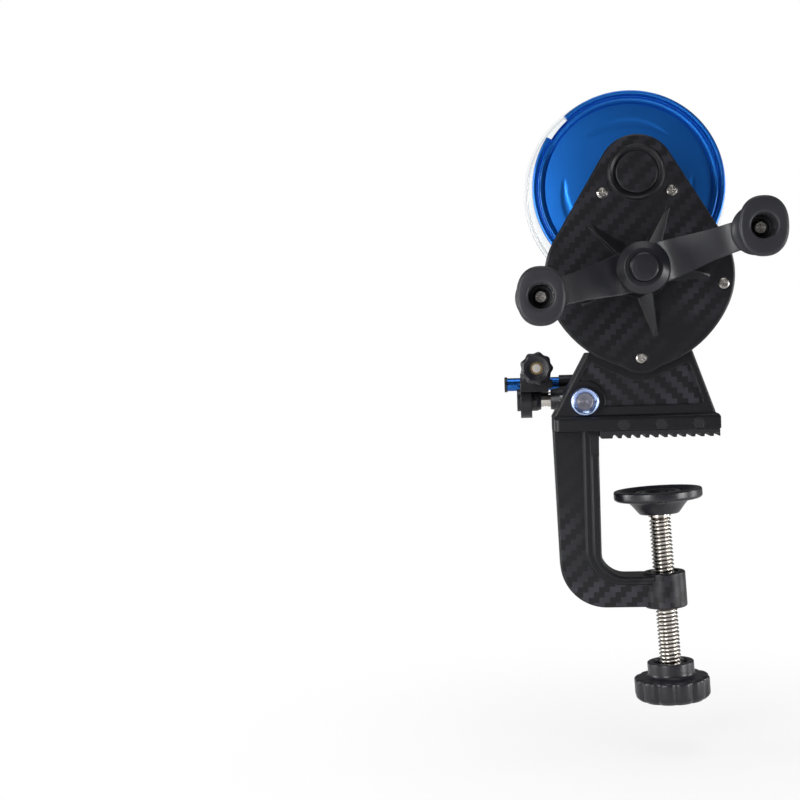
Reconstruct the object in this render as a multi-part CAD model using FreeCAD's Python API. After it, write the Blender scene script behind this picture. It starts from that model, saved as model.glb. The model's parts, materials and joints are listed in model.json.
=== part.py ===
"""Clamp-on fishing line winder: geared crank, line spool, screw clamp and rod-holder arm.

Frame, in millimetres: the origin is where the clamp screw's axis meets the plane of the jaw's
tooth tips, midway through the jaw.  +X points right, +Y back from the crank to the spool, +Z up.
Each make_ function returns one solid or a group of solids, and the end writes one STEP per node.
"""
import FreeCAD, Part
import math
import os

V = FreeCAD.Vector
X_AXIS, Y_AXIS, Z_AXIS = V(1, 0, 0), V(0, 1, 0), V(0, 0, 1)
ORIGIN = V(0, 0, 0)

# ---------------------------------------------------------------- driving dimensions
# fits
RUN = 0.05            # radial clearance of a running fit
SEAT = 0.15           # clearance round a piece that drops into a pocket
GAP = 0.4             # free space between bodies that move past each other

# jaw bar and toothed strip
BAR_LEFT, BAR_RIGHT = -46.2, 28.5
BAR_TOP = 10.5
BAR_DEPTH = 36.0
BAR_ROUND = 2.2
BAR_CORNER = 3.0      # rounding of the bar's upright corners at the arm's side
STRIP_HEIGHT = 3.6
STRIP_LEFT = -25.2
STRIP_DEPTH = 35.0
TOOTH_PITCH = 4.07
TOOTH_GROOVE = 2.4    # width of the round-topped groove between two teeth
GROOVE_DEPTH = 1.7
PLUG_FLATS = 4.4
PLUG_DEPTH = 4.0
PLUG_X = (-14.7, 2.0, 18.7)
PLUG_Z = 6.0

# C-arm
ARM_WEB = 13.0        # thickness of the web along Y
ARM_STEP = 16.0       # width of the rib's outer step along Y
ARM_RIB = 19.0        # width of the rib's inner step along Y
RIB_HEIGHT = 7.0
RIB_INNER = 3.8       # height of the inner step
ARM_EDGE = 0.9        # rounding of the arm's long edges
RIB_FILLET = 4.0      # where the inner step runs into the bar
RIB_FLARE = 12.0      # how far below the bar the inner step starts to widen
ARM_TOP_LEFT, ARM_LOW_LEFT = -46.2, -44.4
ARM_INNER = -25.4
ARM_OUTER_TURN = 21.0
ARM_INNER_TURN = 11.3
ARM_BEND_Z = -57.2
ARM_BOTTOM = -78.3
ARM_SHELF = -63.9     # top face of the lower arm

# clamp screw group, set along an axis that leans
SCREW_LEAN = 2.8      # degrees from vertical
SCREW_R = 5.0
BOSS_R = 9.75
BOSS_TOP, BOSS_BOTTOM = -62.7, -79.1
INSERT_R = 7.0
INSERT_SINK = 1.0
PAD_TOP = -24.8
PAD_R = 20.2
PAD_RIM = 4.7
PAD_CONE_R = 14.2
PAD_NECK_R = 9.4
PAD_BOTTOM = -36.0
DISH_DEPTH = 2.4
RIM_WIDE = 2.3
BALL_R = 4.2
KNOB_TOP = -104.4
COLLAR_R = 10.65
COLLAR_HEIGHT = 7.3
SCREW_KNOB_R = 17.3
SCREW_KNOB_HEIGHT = 10.2
KNOB_FLUTES = 12
FLUTE_R, FLUTE_DEPTH = 4.2, 0.9
COLLAR_BORE_R = 8.0
COLLAR_BORE_DEPTH = 5.6
PIN_R, PIN_REACH = 1.5, 8.5
NECK_R = 2.8
BALL_DROP = 4.0       # from the dish floor to the ball's middle
BALL_GAP = 0.3
RETAINER_R, RETAINER_HEAD_R = 1.6, 3.4
RING_OUT, RING_IN = 10.2, 8.6
WASHER_R, WASHER_THICK = 5.1, 1.0

# base below the gearbox
BASE_DEPTH = 32.0
BASE_BOTTOM_LEFT, BASE_BOTTOM_RIGHT = -45.8, 26.7
BASE_TOP_LEFT, BASE_TOP_RIGHT = -30.1, 16.8
BASE_TOP = 39.0
PANEL_SINK = 1.6
PANEL_RIM = 3.2
PANEL_CORNER = 2.6
PANEL_LIFT = 4.0      # panel's lower edge above the bar
BASE_EDGE = 1.2       # rounding of the base's front edges
BASE_WALL = 3.0
BASE_RIBS = 4
BASE_SINK = 1.0       # how far the base reaches down into the bar's rounded top
TONGUE_HALF = 17.0    # plate behind the gearbox that its two rear screws go through
TONGUE_TOP = 46.5
GRUB_R = 2.5          # set screw that locks the cross tube
GRUB_LEFT = -43.0

# gearbox and its cover
AXIS_X = -6.3         # spindle and the cover's middle
CRANK_X, CRANK_Z = -5.5, 75.0
MODULE = 0.9
GEAR_TEETH, PINION_TEETH = 72, 24
GEAR_SLACK = 0.05     # added to the nominal centre distance
GEAR_FACE = 8.0
COVER_FACE = -22.0    # front face of the cover along Y
COVER_THICK = 2.6
COVER_BEVEL = 0.7
COVER_TOP_R = 16.9    # round top of the cover, about the spindle
COVER_HALF_WIDTH = 42.0
COVER_SIDE_R = 33.0   # turn from the straight flank to the widest place
COVER_SIDE_Z = 72.4
COVER_LOW_R = 50.0    # flatter arc from the side to the tip
COVER_LOW_TURN = 25.0 # degrees below the widest place where the flatter arc starts
COVER_TIP_TURN = 73.0 # degrees where the flatter arc gives way to the tip's own curve
COVER_TIP_Z = 28.8
HOUSING_BACK = 12.0
HOUSING_WALL = 2.6
HOUSING_INSET = 1.0
SCREW_HEAD_R = 2.4
HEAD_SINK = 0.6       # counterbore of a cover screw
COVER_SCREWS = ((-15.3, 109.6), (15.3, 109.6), (-37.0, 67.7), (37.0, 67.7), (0.0, 35.9))
HOUSING_SCREW_X, HOUSING_SCREW_Z = 12.0, 41.5
SCREW_SHANK_R = 1.4
SCREW_LENGTH = 11.0
POST_R = 3.0
BUSH_R = 5.5
BEARING_R = 8.0
BEARING_WIDE = 5.0
NOSE_BUSH_R = 6.0     # plain bush at the spindle's front end
BADGE_R = 9.4
BADGE_RING_R = 12.3
BADGE_RING_HEIGHT = 1.2
BOSS_FOOT_R, BOSS_HEAD_R = 12.4, 9.6
BOSS_HEAD_Y = -31.0
FIN_COUNT = 5
FIN_FIRST = -7.2      # degrees of the first fin above +X
FIN_ROOT, FIN_CREST, FIN_TIP = 8.5, 25.5, 31.2
FIN_HEIGHT, FIN_CREST_HEIGHT = 8.6, 2.8
FIN_LOW_SIDE, FIN_STEEP_SIDE = 5.0, 3.0   # half widths at the root, before and behind the crest
FIN_TIP_HALF = 0.9
PRESSURE = math.radians(20)
BACKLASH = 0.14
FLANK_STEPS = 4
KEY_FLAT = 0.8        # height of a shaft's flat as a share of its radius
CLIP_GROOVE_R, CLIP_THICK = 3.3, 0.8

# crank
CRANK_TURN = 15.6     # degrees that the crank's right arm points above +X
CRANK_REACH = 46.7
HUB_FACE = -39.0
HUB_R = 11.45
HUB_CAP_R = 6.2
HUB_CAP_FACE = -43.5
HUB_STEP = 3.4        # from the hub's face back to the arms
ARM_ROOT_WIDTH, ARM_END_WIDTH = 19.0, 11.5
ARM_THICK = 6.0
ARM_END_FACE = -58.0
SHAFT_R = 4.0
GRIP_FACE = -79.0
GRIP_WIDE, GRIP_TALL = 19.9, 24.6
GRIP_TAPER_WIDE, GRIP_TAPER_TALL = 4.5, 7.0   # taken off the oval where it meets the round waist
GRIP_LIP = 6.6        # depth of the oval part
GRIP_FOOT_R = 10.65
GRIP_WAIST_R = 8.3
GRIP_BOWL_R = 5.05
GRIP_BOWL_DEPTH = 12.0
GRIP_HEAD_R = 3.1
GRIP_SCREW_R = 2.0
GRIP_BUSH_R = 3.0
NUT_R = 5.2           # corner radius of the crank shaft's nut
NOSE_R = 2.5          # threaded nose of the crank shaft

# spool on the spindle
SPOOL_FRONT = 29.8
SPOOL_BACK = 63.5
BLUE_FLANGE_R = 45.9
CLEAR_FLANGE_R = 50.0
FLANGE_THICK = 2.4
SPOOL_LIP = 3.2       # how far the blue flange's rim stands in front of its web
CORE_R = 22.0
LINE_R = 38.0
SPOOL_BORE_R = 10.0
NOTCH_FROM, NOTCH_TO = 130.5, 146.5   # degrees of the line notch in the blue rim at rest
NOTCH_DEPTH = 2.6
CONE_TRAVEL = 12.0
DISC_R, DISC_THICK = 13.2, 4.0
DISC_HUB_R = 9.5
SPINDLE_COLLAR_R = 6.0
NOSE_REACH, NOSE_TAPER = 5.0, 3.0     # the two cones that centre the spool's bore
CONE_BRIM_R, CONE_BRIM_THICK = 16.0, 2.5
CONE_THICK = 4.5
LOCK_NUT_R = 10.0
LOCK_NUT_WIDE = 8.0
LOCK_NUT_FLUTES = 8
LOCK_FLUTE_R, LOCK_FLUTE_OUT = 1.8, 0.6

# rod-holder arm
TUBE_X, TUBE_Z = -31.5, 17.1
TUBE_R = 6.3
TUBE_BORE_R = 3.9
TUBE_FRONT, TUBE_BACK = -22.0, 52.0
TUBE_BOSS_R = 9.2
ROD_Y = 26.0          # plane of the rod axis
STAY_Y = 40.0         # plane of the stay tube
ROD_Z = 17.2
STAY_Z = 24.5
STAY_R = 3.2
STAY_WALL = 0.8
STAY_SEAT = 2.0       # how deep the stay tube sits in the arm's socket
STAY_LEFT, STAY_RIGHT = -67.0, -40.6
HOLDER_X = -57.9      # middle of the holder ring
HOLDER_RING_R = 8.7
HOLDER_RING_WIDE = 5.4
SLEEVE_R = 5.4
CHROME_R = 3.55
LOBE_KNOB_R = 7.8
LOBE_KNOB_LOBES = 9
LOBE_KNOB_FACE = 4.0
LOBE_KNOB_THICK = 7.0
BOLT_X, BOLT_Z = -52.7, 32.4
BOLT_R = 2.0
BOLT_HEAD_R, BOLT_HEAD_THICK = 3.6, 2.8
HUB_TUBE_R = 9.4      # arm bracket's hub round the cross tube
ARM_FRONT, ARM_BACK = 18.5, 46.0
CONE_LEFT, CONE_RIGHT = -46.2, -34.0
CONE_LEFT_R, CONE_RIGHT_R = 4.8, 7.2
SOCKET_R = 4.1
BLOCK_LEFT, BLOCK_RIGHT = -60.6, -45.3
BLOCK_SKIRT = -47.2    # right end of the block's lower part, clear of the arm's cone
BLOCK_FRONT = 14.0
EAR_R, EAR_THICK = 5.0, 8.0
SLEEVE_OUT = 4.4      # how far the sleeve reaches left of the ring's middle
SLEEVE_RIGHT = -50.8
SOCKET_BORE_R, SOCKET_DEPTH = 4.2, 7.0
CHROME_LEFT, CHROME_RIGHT = -54.0, -40.6
CHROME_GROOVES = (-49.7, -48.5)
KNOB_NUT_R = 2.9
WASHER_PLAY = 0.3
KNOB_WASHER_THICK = 1.0

# ---------------------------------------------------------------- worked-out places
BAR_HALF = BAR_DEPTH / 2
BASE_FRONT = -BASE_DEPTH / 2
BASE_BACK = BASE_DEPTH / 2
COVER_BACK = COVER_FACE + COVER_THICK
GEAR_R = MODULE * GEAR_TEETH / 2
PINION_R = MODULE * PINION_TEETH / 2
SPINDLE_Z = CRANK_Z + math.sqrt((GEAR_R + PINION_R + GEAR_SLACK) ** 2 - (AXIS_X - CRANK_X) ** 2)
MESH_ANGLE = math.atan2(SPINDLE_Z - CRANK_Z, AXIS_X - CRANK_X)
HOUSING_FLOOR = HOUSING_BACK - HOUSING_WALL
GEAR_FRONT = -10.0
GEAR_BACK = GEAR_FRONT + GEAR_FACE
HUB_BACK = BOSS_HEAD_Y - 0.8 - GAP
NUT_SEAT = HUB_FACE + 3.4
BALL_Z = PAD_TOP - DISH_DEPTH - BALL_DROP
SPINDLE_CLIP_Y = COVER_BACK + 1.5 + GAP
KNOB_FOOT = BLOCK_FRONT - WASHER_PLAY - KNOB_WASHER_THICK - RUN
DISC_BACK = SPOOL_FRONT + SPOOL_LIP
COLLAR_FRONT = HOUSING_BACK + GAP + CLIP_THICK + GAP
LINE_FRONT = SPOOL_FRONT + SPOOL_LIP + FLANGE_THICK
LINE_BACK = SPOOL_BACK - FLANGE_THICK
CONE_BACK = SPOOL_BACK + CONE_THICK
TAIL_END = CONE_BACK + LOCK_NUT_WIDE + CONE_TRAVEL + 2.0


# ---------------------------------------------------------------- shape helpers
def box(x0, x1, y0, y1, z0, z1):
    return Part.makeBox(x1 - x0, y1 - y0, z1 - z0, V(x0, y0, z0))


def rod_y(r, y0, y1, x=0.0, z=0.0):
    """A cylinder along Y."""
    return Part.makeCylinder(r, y1 - y0, V(x, y0, z), Y_AXIS)


def rod_x(r, x0, x1, y=0.0, z=0.0):
    return Part.makeCylinder(r, x1 - x0, V(x0, y, z), X_AXIS)


def rod_z(r, z0, z1, x=0.0, y=0.0):
    return Part.makeCylinder(r, z1 - z0, V(x, y, z0), Z_AXIS)


def turned_y(profile, x=0.0, z=0.0):
    """Turns a closed list of (radius, y) points about an axis along Y."""
    wire = Part.makePolygon([V(r, y, 0) for r, y in profile] + [V(profile[0][0], profile[0][1], 0)])
    solid = Part.Face(wire).revolve(ORIGIN, Y_AXIS, 360)
    solid.translate(V(x, 0, z))
    return solid


def turned_z(profile):
    """Turns a closed list of (radius, z) points about the Z axis."""
    wire = Part.makePolygon([V(r, 0, z) for r, z in profile] + [V(profile[0][0], 0, profile[0][1])])
    return Part.Face(wire).revolve(ORIGIN, Z_AXIS, 360)


def outline(points, to_point):
    """A closed wire; a point given as ("arc", u, v) is the middle of an arc between its neighbours."""
    edges = []
    count = len(points)
    i = 0
    while i < count:
        here = points[i]
        after = points[(i + 1) % count]
        if after[0] == "arc":
            end = points[(i + 2) % count]
            arc = Part.Arc(to_point(*here), to_point(*after[1:]), to_point(*end))
            edges.append(arc.toShape())
            i += 2
        else:
            edges.append(Part.makeLine(to_point(*here), to_point(*after)))
            i += 1
    return Part.Wire(edges)


def plate_y(points, y0, y1):
    """An outline in X and Z, extruded along Y."""
    face = Part.Face(outline(points, lambda x, z: V(x, y0, z)))
    return face.extrude(V(0, y1 - y0, 0))


def fused(*shapes):
    whole = shapes[0]
    for shape in shapes[1:]:
        whole = whole.fuse(shape)
    return whole.removeSplitter()


def group(shapes):
    return Part.makeCompound(list(shapes))


def leaned(shape):
    """Sets a shape built about the Z axis onto the clamp screw's axis."""
    turned = shape.copy()
    turned.rotate(ORIGIN, Y_AXIS, -SCREW_LEAN)
    return turned


def phillips_y(x, z, face, depth, reach=1.5, blade=0.55, way=1):
    """The cross-shaped driver recess of a screw whose head faces along Y."""
    y0, y1 = sorted((face - way * 0.1, face + way * depth))
    across = box(x - reach, x + reach, y0, y1, z - blade / 2, z + blade / 2)
    along = box(x - blade / 2, x + blade / 2, y0, y1, z - reach, z + reach)
    return across.fuse(along)


def pan_screw_y(x, z, seat, head_r, head_h, shank_r, length, slot):
    """A pan-head screw that faces -Y, with the underside of its head at y = seat."""
    edge = head_h * 0.45
    head = turned_y([(0, seat), (head_r, seat), (head_r, seat - edge),
                     (head_r * 0.72, seat - head_h), (0, seat - head_h)], x, z)
    shank = rod_y(shank_r, seat, seat + length, x, z)
    return fused(head, shank).cut(phillips_y(x, z, seat - head_h, head_h * 0.7, slot, 0.6))


# ---------------------------------------------------------------- clamp frame
def arm_outline(width_inside):
    """The C-arm seen from the front; width_inside is None for the web, or a rib step's height."""
    turn_o, turn_i = ARM_OUTER_TURN, ARM_INNER_TURN
    end_x = BOSS_TOP * -math.sin(math.radians(SCREW_LEAN)) - BOSS_R / 2
    out_x, out_z = ARM_LOW_LEFT + turn_o, ARM_BEND_Z
    in_x, in_z = ARM_INNER + turn_i, ARM_SHELF + turn_i
    c45 = math.cos(math.pi / 4)
    inner = [(end_x, ARM_SHELF), (in_x, ARM_SHELF), ("arc", in_x - turn_i * c45, in_z - turn_i * c45),
             (ARM_INNER, in_z), (ARM_INNER, STRIP_HEIGHT)]
    if width_inside is None:
        outer = [(ARM_TOP_LEFT, STRIP_HEIGHT), (ARM_LOW_LEFT, out_z),
                 ("arc", out_x - turn_o * c45, out_z - turn_o * c45), (out_x, ARM_BOTTOM), (end_x, ARM_BOTTOM)]
        return outer + inner
    rib = width_inside
    low = rib * 0.55
    turn_r = turn_i + (rib + low) / 2
    rib_x, rib_z = in_x, in_z
    outer = [(ARM_INNER - rib, STRIP_HEIGHT), (ARM_INNER - rib, rib_z),
             ("arc", rib_x - turn_r * c45, rib_z - turn_r * c45), (rib_x, ARM_SHELF - low), (end_x, ARM_SHELF - low)]
    return outer + inner


def base_outline():
    return [(BASE_BOTTOM_LEFT, BAR_TOP), (BASE_TOP_LEFT, BASE_TOP), (BASE_TOP_RIGHT, BASE_TOP),
            (BASE_BOTTOM_RIGHT, BAR_TOP)]


def cover_outline(inset=0.0):
    """The rounded shield of the gearbox: round top, straight flanks, wide sides, blunt tip below."""
    side_x = COVER_HALF_WIDTH - COVER_SIDE_R
    fall = COVER_SIDE_Z - SPINDLE_Z
    apart = math.hypot(side_x, fall)
    normal = math.atan2(fall, side_x) + math.acos((COVER_TOP_R - COVER_SIDE_R) / apart)
    turn, tip_turn = math.radians(-COVER_LOW_TURN), math.radians(-COVER_TIP_TURN)
    spare = COVER_LOW_R - COVER_SIDE_R
    low_x, low_z = side_x - spare * math.cos(turn), COVER_SIDE_Z - spare * math.sin(turn)

    def around(cx, cz, r, angle):
        return cx + (r - inset) * math.cos(angle), cz + (r - inset) * math.sin(angle)

    right = [around(0, SPINDLE_Z, COVER_TOP_R, normal), around(side_x, COVER_SIDE_Z, COVER_SIDE_R, normal),
             ("arc",) + around(side_x, COVER_SIDE_Z, COVER_SIDE_R, (normal + turn) / 2),
             around(side_x, COVER_SIDE_Z, COVER_SIDE_R, turn),
             ("arc",) + around(low_x, low_z, COVER_LOW_R, (turn + tip_turn) / 2),
             around(low_x, low_z, COVER_LOW_R, tip_turn)]
    left = [(("arc", -p[1], p[2]) if p[0] == "arc" else (-p[0], p[1])) for p in reversed(right)]
    points = right + [("arc", 0, COVER_TIP_Z + inset)] + left + [("arc", 0, SPINDLE_Z + COVER_TOP_R - inset)]
    return [(("arc", p[1] + AXIS_X, p[2]) if p[0] == "arc" else (p[0] + AXIS_X, p[1])) for p in points]


def cover_screw_places():
    """The five cover screws: two beside the spindle, two at the sides and one above the tip."""
    return [(AXIS_X + x, z) for x, z in COVER_SCREWS]


def base_side(z, inset):
    """Left and right edge of the base at a height, moved inwards by inset."""
    share = (z - BAR_TOP) / (BASE_TOP - BAR_TOP)
    left = BASE_BOTTOM_LEFT + (BASE_TOP_LEFT - BASE_BOTTOM_LEFT) * share + inset
    right = BASE_BOTTOM_RIGHT + (BASE_TOP_RIGHT - BASE_BOTTOM_RIGHT) * share - inset
    return left, right


def base_block(low, high, inset, y0, y1):
    """A slice of the base between two heights, with its slanted sides moved inwards."""
    low_left, low_right = base_side(low, inset)
    high_left, high_right = base_side(high, inset)
    return plate_y([(low_left, low), (low_right, low), (high_right, high), (high_left, high)], y0, y1)


def face_edges(solid, half):
    """Edges of an extruded plate that lie in its front or back face."""
    return [e for e in solid.Edges if e.BoundBox.YLength < 0.01 and abs(abs(e.BoundBox.YMin) - half) < 0.01]


def upright_edges(solid):
    """Edges along Y, the corners of an extruded outline."""
    return [e for e in solid.Edges if e.BoundBox.XLength < 0.01 and e.BoundBox.ZLength < 0.01]


def make_jaw_bar():
    bar = box(BAR_LEFT, BAR_RIGHT, -BAR_HALF, BAR_HALF, STRIP_HEIGHT, BAR_TOP)
    corners = [e for e in bar.Edges if e.BoundBox.ZLength > BAR_TOP - STRIP_HEIGHT - 0.01
               and e.BoundBox.XMax < BAR_LEFT + 1]
    bar = bar.makeFillet(BAR_CORNER, corners)
    top = [e for e in bar.Edges if e.BoundBox.ZMin > BAR_TOP - 0.01]
    return bar.makeFillet(BAR_ROUND, top)


def make_rib_head():
    """The rib's inner step where it flares into the bar: a fillet seen from the front and from the side."""
    left, low = ARM_INNER - RIB_INNER, STRIP_HEIGHT - RIB_FLARE
    swing = RIB_FILLET * (1 - math.cos(math.pi / 4))
    front = plate_y([(left - RIB_FILLET, BAR_TOP - BAR_ROUND), (left - RIB_FILLET, STRIP_HEIGHT),
                     ("arc", left - swing, STRIP_HEIGHT - swing), (left, STRIP_HEIGHT - RIB_FILLET),
                     (left, low), (ARM_INNER, low), (ARM_INNER, BAR_TOP - BAR_ROUND)], -BAR_HALF, BAR_HALF)
    half, rib, top = BAR_HALF, ARM_RIB / 2, BAR_TOP - BAR_ROUND
    bend = (rib + (half - rib) * 0.3, STRIP_HEIGHT - RIB_FLARE * 0.3)
    points = [(rib, low), ("arc",) + bend, (half, STRIP_HEIGHT + 1), (half, top), (-half, top),
              (-half, STRIP_HEIGHT + 1), ("arc", -bend[0], bend[1]), (-rib, low)]
    side = Part.Face(outline(points, lambda y, z: V(left - 2 * RIB_FILLET, y, z)))
    return front.common(side.extrude(V(RIB_INNER + 2 * RIB_FILLET, 0, 0)))


def make_c_arm():
    """Web, two-step rib and the boss for the screw, with their long edges rounded."""
    pieces = []
    for width, height in ((ARM_WEB, None), (ARM_STEP, RIB_HEIGHT), (ARM_RIB, RIB_INNER)):
        plate = plate_y(arm_outline(height), -width / 2, width / 2)
        pieces.append(plate.makeFillet(ARM_EDGE, face_edges(plate, width / 2)))
    boss = rod_z(BOSS_R, BOSS_BOTTOM, BOSS_TOP)
    boss = leaned(boss.makeFillet(ARM_EDGE, [e for e in boss.Edges if e.BoundBox.ZLength < 0.01]))
    return pieces + [make_rib_head(), boss]


def make_base():
    """Tapered block on the bar with a framed panel in front."""
    base = base_block(BAR_TOP - BASE_SINK, BASE_TOP, 0, BASE_FRONT, BASE_BACK)
    slanted = [e for e in base.Edges if e.BoundBox.YLength < 0.01 and e.BoundBox.YMax < 0
               and e.BoundBox.ZLength > BASE_TOP - BAR_TOP - 0.01]
    base = base.makeFillet(BASE_EDGE, slanted)
    panel = base_block(BAR_TOP + PANEL_LIFT, BASE_TOP + 1, PANEL_RIM, BASE_FRONT - 1, BASE_FRONT + PANEL_SINK)
    panel = panel.cut(rod_y(TUBE_BOSS_R, BASE_FRONT - 2, BASE_BACK, TUBE_X, TUBE_Z))
    panel = panel.cut(plate_y(cover_outline(-PANEL_RIM), BASE_FRONT - 2, BASE_BACK))
    panel = max(panel.Solids, key=lambda solid: solid.Volume)
    panel = panel.makeFillet(PANEL_CORNER, [e for e in upright_edges(panel) if e.BoundBox.ZMin > BAR_TOP
                                            and e.BoundBox.XMin > TUBE_X + TUBE_BOSS_R])
    return base.cut(panel)


def make_base_hollow():
    """Ribbed cells, open at the back, that keep the base's walls even."""
    hollow = base_block(BAR_TOP + BASE_WALL, BASE_TOP - 1, BASE_WALL * 1.2,
                        BASE_FRONT + PANEL_SINK + BASE_WALL, BASE_BACK + 1)
    hollow = hollow.cut(plate_y(cover_outline(-BASE_WALL), BASE_FRONT, BASE_BACK + 2))
    first, last = TUBE_X + TUBE_BOSS_R, base_side(BAR_TOP + BASE_WALL, BASE_WALL)[1]
    for i in range(1, BASE_RIBS + 1):
        x = first + i * (last - first) / (BASE_RIBS + 1)
        rib = box(x - BASE_WALL / 3, x + BASE_WALL / 3, BASE_FRONT, BASE_BACK + 2, BAR_TOP, BASE_TOP)
        hollow = hollow.cut(rib)
    return hollow.cut(box(BASE_BOTTOM_LEFT, first, BASE_FRONT, BASE_BACK + 2, BAR_TOP, BASE_TOP))


def make_main_frame():
    """One moulding: jaw bar, C-arm with its rib, boss for the screw, and the base for the gearbox."""
    tongue = box(AXIS_X - TONGUE_HALF, AXIS_X + TONGUE_HALF, HOUSING_BACK + SEAT, BASE_BACK, BAR_TOP, TONGUE_TOP)
    frame = fused(make_jaw_bar(), *make_c_arm(), make_base(), tongue).cut(make_base_hollow())
    frame = frame.cut(plate_y(cover_outline(HOUSING_INSET - SEAT), BASE_FRONT - 2, HOUSING_BACK + SEAT))
    frame = frame.cut(leaned(rod_z(INSERT_R, BOSS_BOTTOM - 1, BOSS_TOP + 1)))
    frame = frame.cut(rod_y(TUBE_R + RUN, BASE_FRONT - 1, BASE_BACK + 1, TUBE_X, TUBE_Z))
    frame = frame.cut(rod_x(GRUB_R, GRUB_LEFT, TUBE_X, 0, TUBE_Z))
    for x, y0, y1 in plug_places():
        frame = frame.cut(hex_plug(x, y0, y1))
    for x, z in housing_screw_places():
        frame = frame.cut(rod_y(SCREW_SHANK_R + RUN, HOUSING_BACK - 1, BASE_BACK + 1, x, z))
    return frame.removeSplitter()


def plug_places():
    """Three hexagonal plugs in the bar's front and three in its back."""
    front = [(x, -BAR_HALF, -BAR_HALF + PLUG_DEPTH) for x in PLUG_X]
    back = [(x, BAR_HALF - PLUG_DEPTH, BAR_HALF) for x in PLUG_X]
    return front + back


def hex_plug(x, y0, y1):
    """A hexagonal plug with two corners level."""
    r = PLUG_FLATS / 2 / math.cos(math.pi / 6)
    corners = [(x + r * math.cos(k * math.pi / 3), PLUG_Z + r * math.sin(k * math.pi / 3)) for k in range(6)]
    return plate_y(corners, y0, y1)


def make_jaw_plugs():
    return group(hex_plug(*place) for place in plug_places())


def make_jaw_strip():
    """Rubber strip under the bar: round-topped grooves leave flat teeth, one of them at X = 0."""
    strip = box(STRIP_LEFT, BAR_RIGHT - 0.4, -STRIP_DEPTH / 2, STRIP_DEPTH / 2, 0, STRIP_HEIGHT)
    corner = [e for e in strip.Edges if e.BoundBox.YLength > STRIP_DEPTH - 1
              and e.BoundBox.XMax < STRIP_LEFT + 1 and e.BoundBox.ZMax < 1]
    strip = strip.makeFillet(1.2, corner)
    r = TOOTH_GROOVE / 2
    first = math.ceil((STRIP_LEFT + 2) / TOOTH_PITCH)
    last = math.floor((BAR_RIGHT - 3) / TOOTH_PITCH)
    for k in range(first, last + 1):
        x = (k + 0.5) * TOOTH_PITCH
        if x > BAR_RIGHT - 2:
            continue
        groove = plate_y([(x - r, -1), (x - r, GROOVE_DEPTH - r), ("arc", x, GROOVE_DEPTH),
                          (x + r, GROOVE_DEPTH - r), (x + r, -1)], -STRIP_DEPTH, STRIP_DEPTH)
        strip = strip.cut(groove)
    return strip


def housing_screw_places():
    """Two screws from behind hold the gearbox housing in the base's pocket."""
    return [(AXIS_X + way * HOUSING_SCREW_X, HOUSING_SCREW_Z) for way in (-1, 1)]


# ---------------------------------------------------------------- gearbox
def make_gearbox_housing():
    """Tub behind the cover, with screw posts and two bearing seats in its floor."""
    tub = plate_y(cover_outline(HOUSING_INSET), COVER_BACK, HOUSING_BACK)
    hollow = plate_y(cover_outline(HOUSING_INSET + HOUSING_WALL), COVER_BACK - 1, HOUSING_FLOOR)
    for x, z in cover_screw_places():
        hollow = hollow.cut(rod_y(POST_R, COVER_BACK - 2, HOUSING_BACK, x, z))
    for x, z in housing_screw_places():
        hollow = hollow.cut(rod_y(POST_R, GEAR_BACK + GAP, HOUSING_BACK, x, z))
    hollow = hollow.cut(rod_y(BUSH_R + HOUSING_WALL, GEAR_BACK + 1.5, HOUSING_BACK, CRANK_X, CRANK_Z))
    hollow = hollow.cut(rod_y(BEARING_R + HOUSING_WALL, GEAR_BACK + 1.5, HOUSING_BACK, AXIS_X, SPINDLE_Z))
    tub = tub.cut(hollow)
    for x, z in cover_screw_places():
        tub = tub.cut(rod_y(SCREW_SHANK_R, COVER_BACK - 1, COVER_BACK + SCREW_LENGTH, x, z))
    for x, z in housing_screw_places():
        tub = tub.cut(rod_y(SCREW_SHANK_R, HOUSING_BACK - SCREW_LENGTH, HOUSING_BACK + 1, x, z))
    tub = tub.cut(rod_y(BUSH_R, GEAR_BACK, HOUSING_BACK + 1, CRANK_X, CRANK_Z))
    tub = tub.cut(rod_y(BEARING_R, HOUSING_BACK - BEARING_WIDE, HOUSING_BACK + 1, AXIS_X, SPINDLE_Z))
    tub = tub.cut(rod_y(BEARING_R - 1.5, GEAR_BACK, HOUSING_BACK, AXIS_X, SPINDLE_Z))
    return tub.removeSplitter()


def make_fin(angle):
    """A blade with one steep side: its crest falls from the boss and ends in a sloping facet at the tip."""
    sink = COVER_FACE + 0.5
    crest = FIN_STEEP_SIDE * 0.8
    root_low, root_steep = V(FIN_ROOT, sink, -FIN_LOW_SIDE), V(FIN_ROOT, sink, FIN_STEEP_SIDE)
    root_top = V(FIN_ROOT, COVER_FACE - FIN_HEIGHT, crest)
    end_top = V(FIN_CREST, COVER_FACE - FIN_CREST_HEIGHT, crest / 2)
    tip_low, tip_steep = V(FIN_TIP, sink, -FIN_TIP_HALF), V(FIN_TIP, sink, FIN_TIP_HALF)
    corners = ((root_low, root_top, root_steep), (root_low, end_top, root_top), (root_low, tip_low, end_top),
               (root_steep, root_top, end_top), (root_steep, end_top, tip_steep), (end_top, tip_low, tip_steep),
               (root_low, root_steep, tip_steep), (root_low, tip_steep, tip_low))
    fin = Part.makeSolid(Part.makeShell([Part.Face(Part.makePolygon([p, q, r, p])) for p, q, r in corners]))
    if fin.Volume < 0:
        fin.reverse()
    fin.rotate(ORIGIN, Y_AXIS, -angle)
    fin.translate(V(CRANK_X, 0, CRANK_Z))
    return fin


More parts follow.
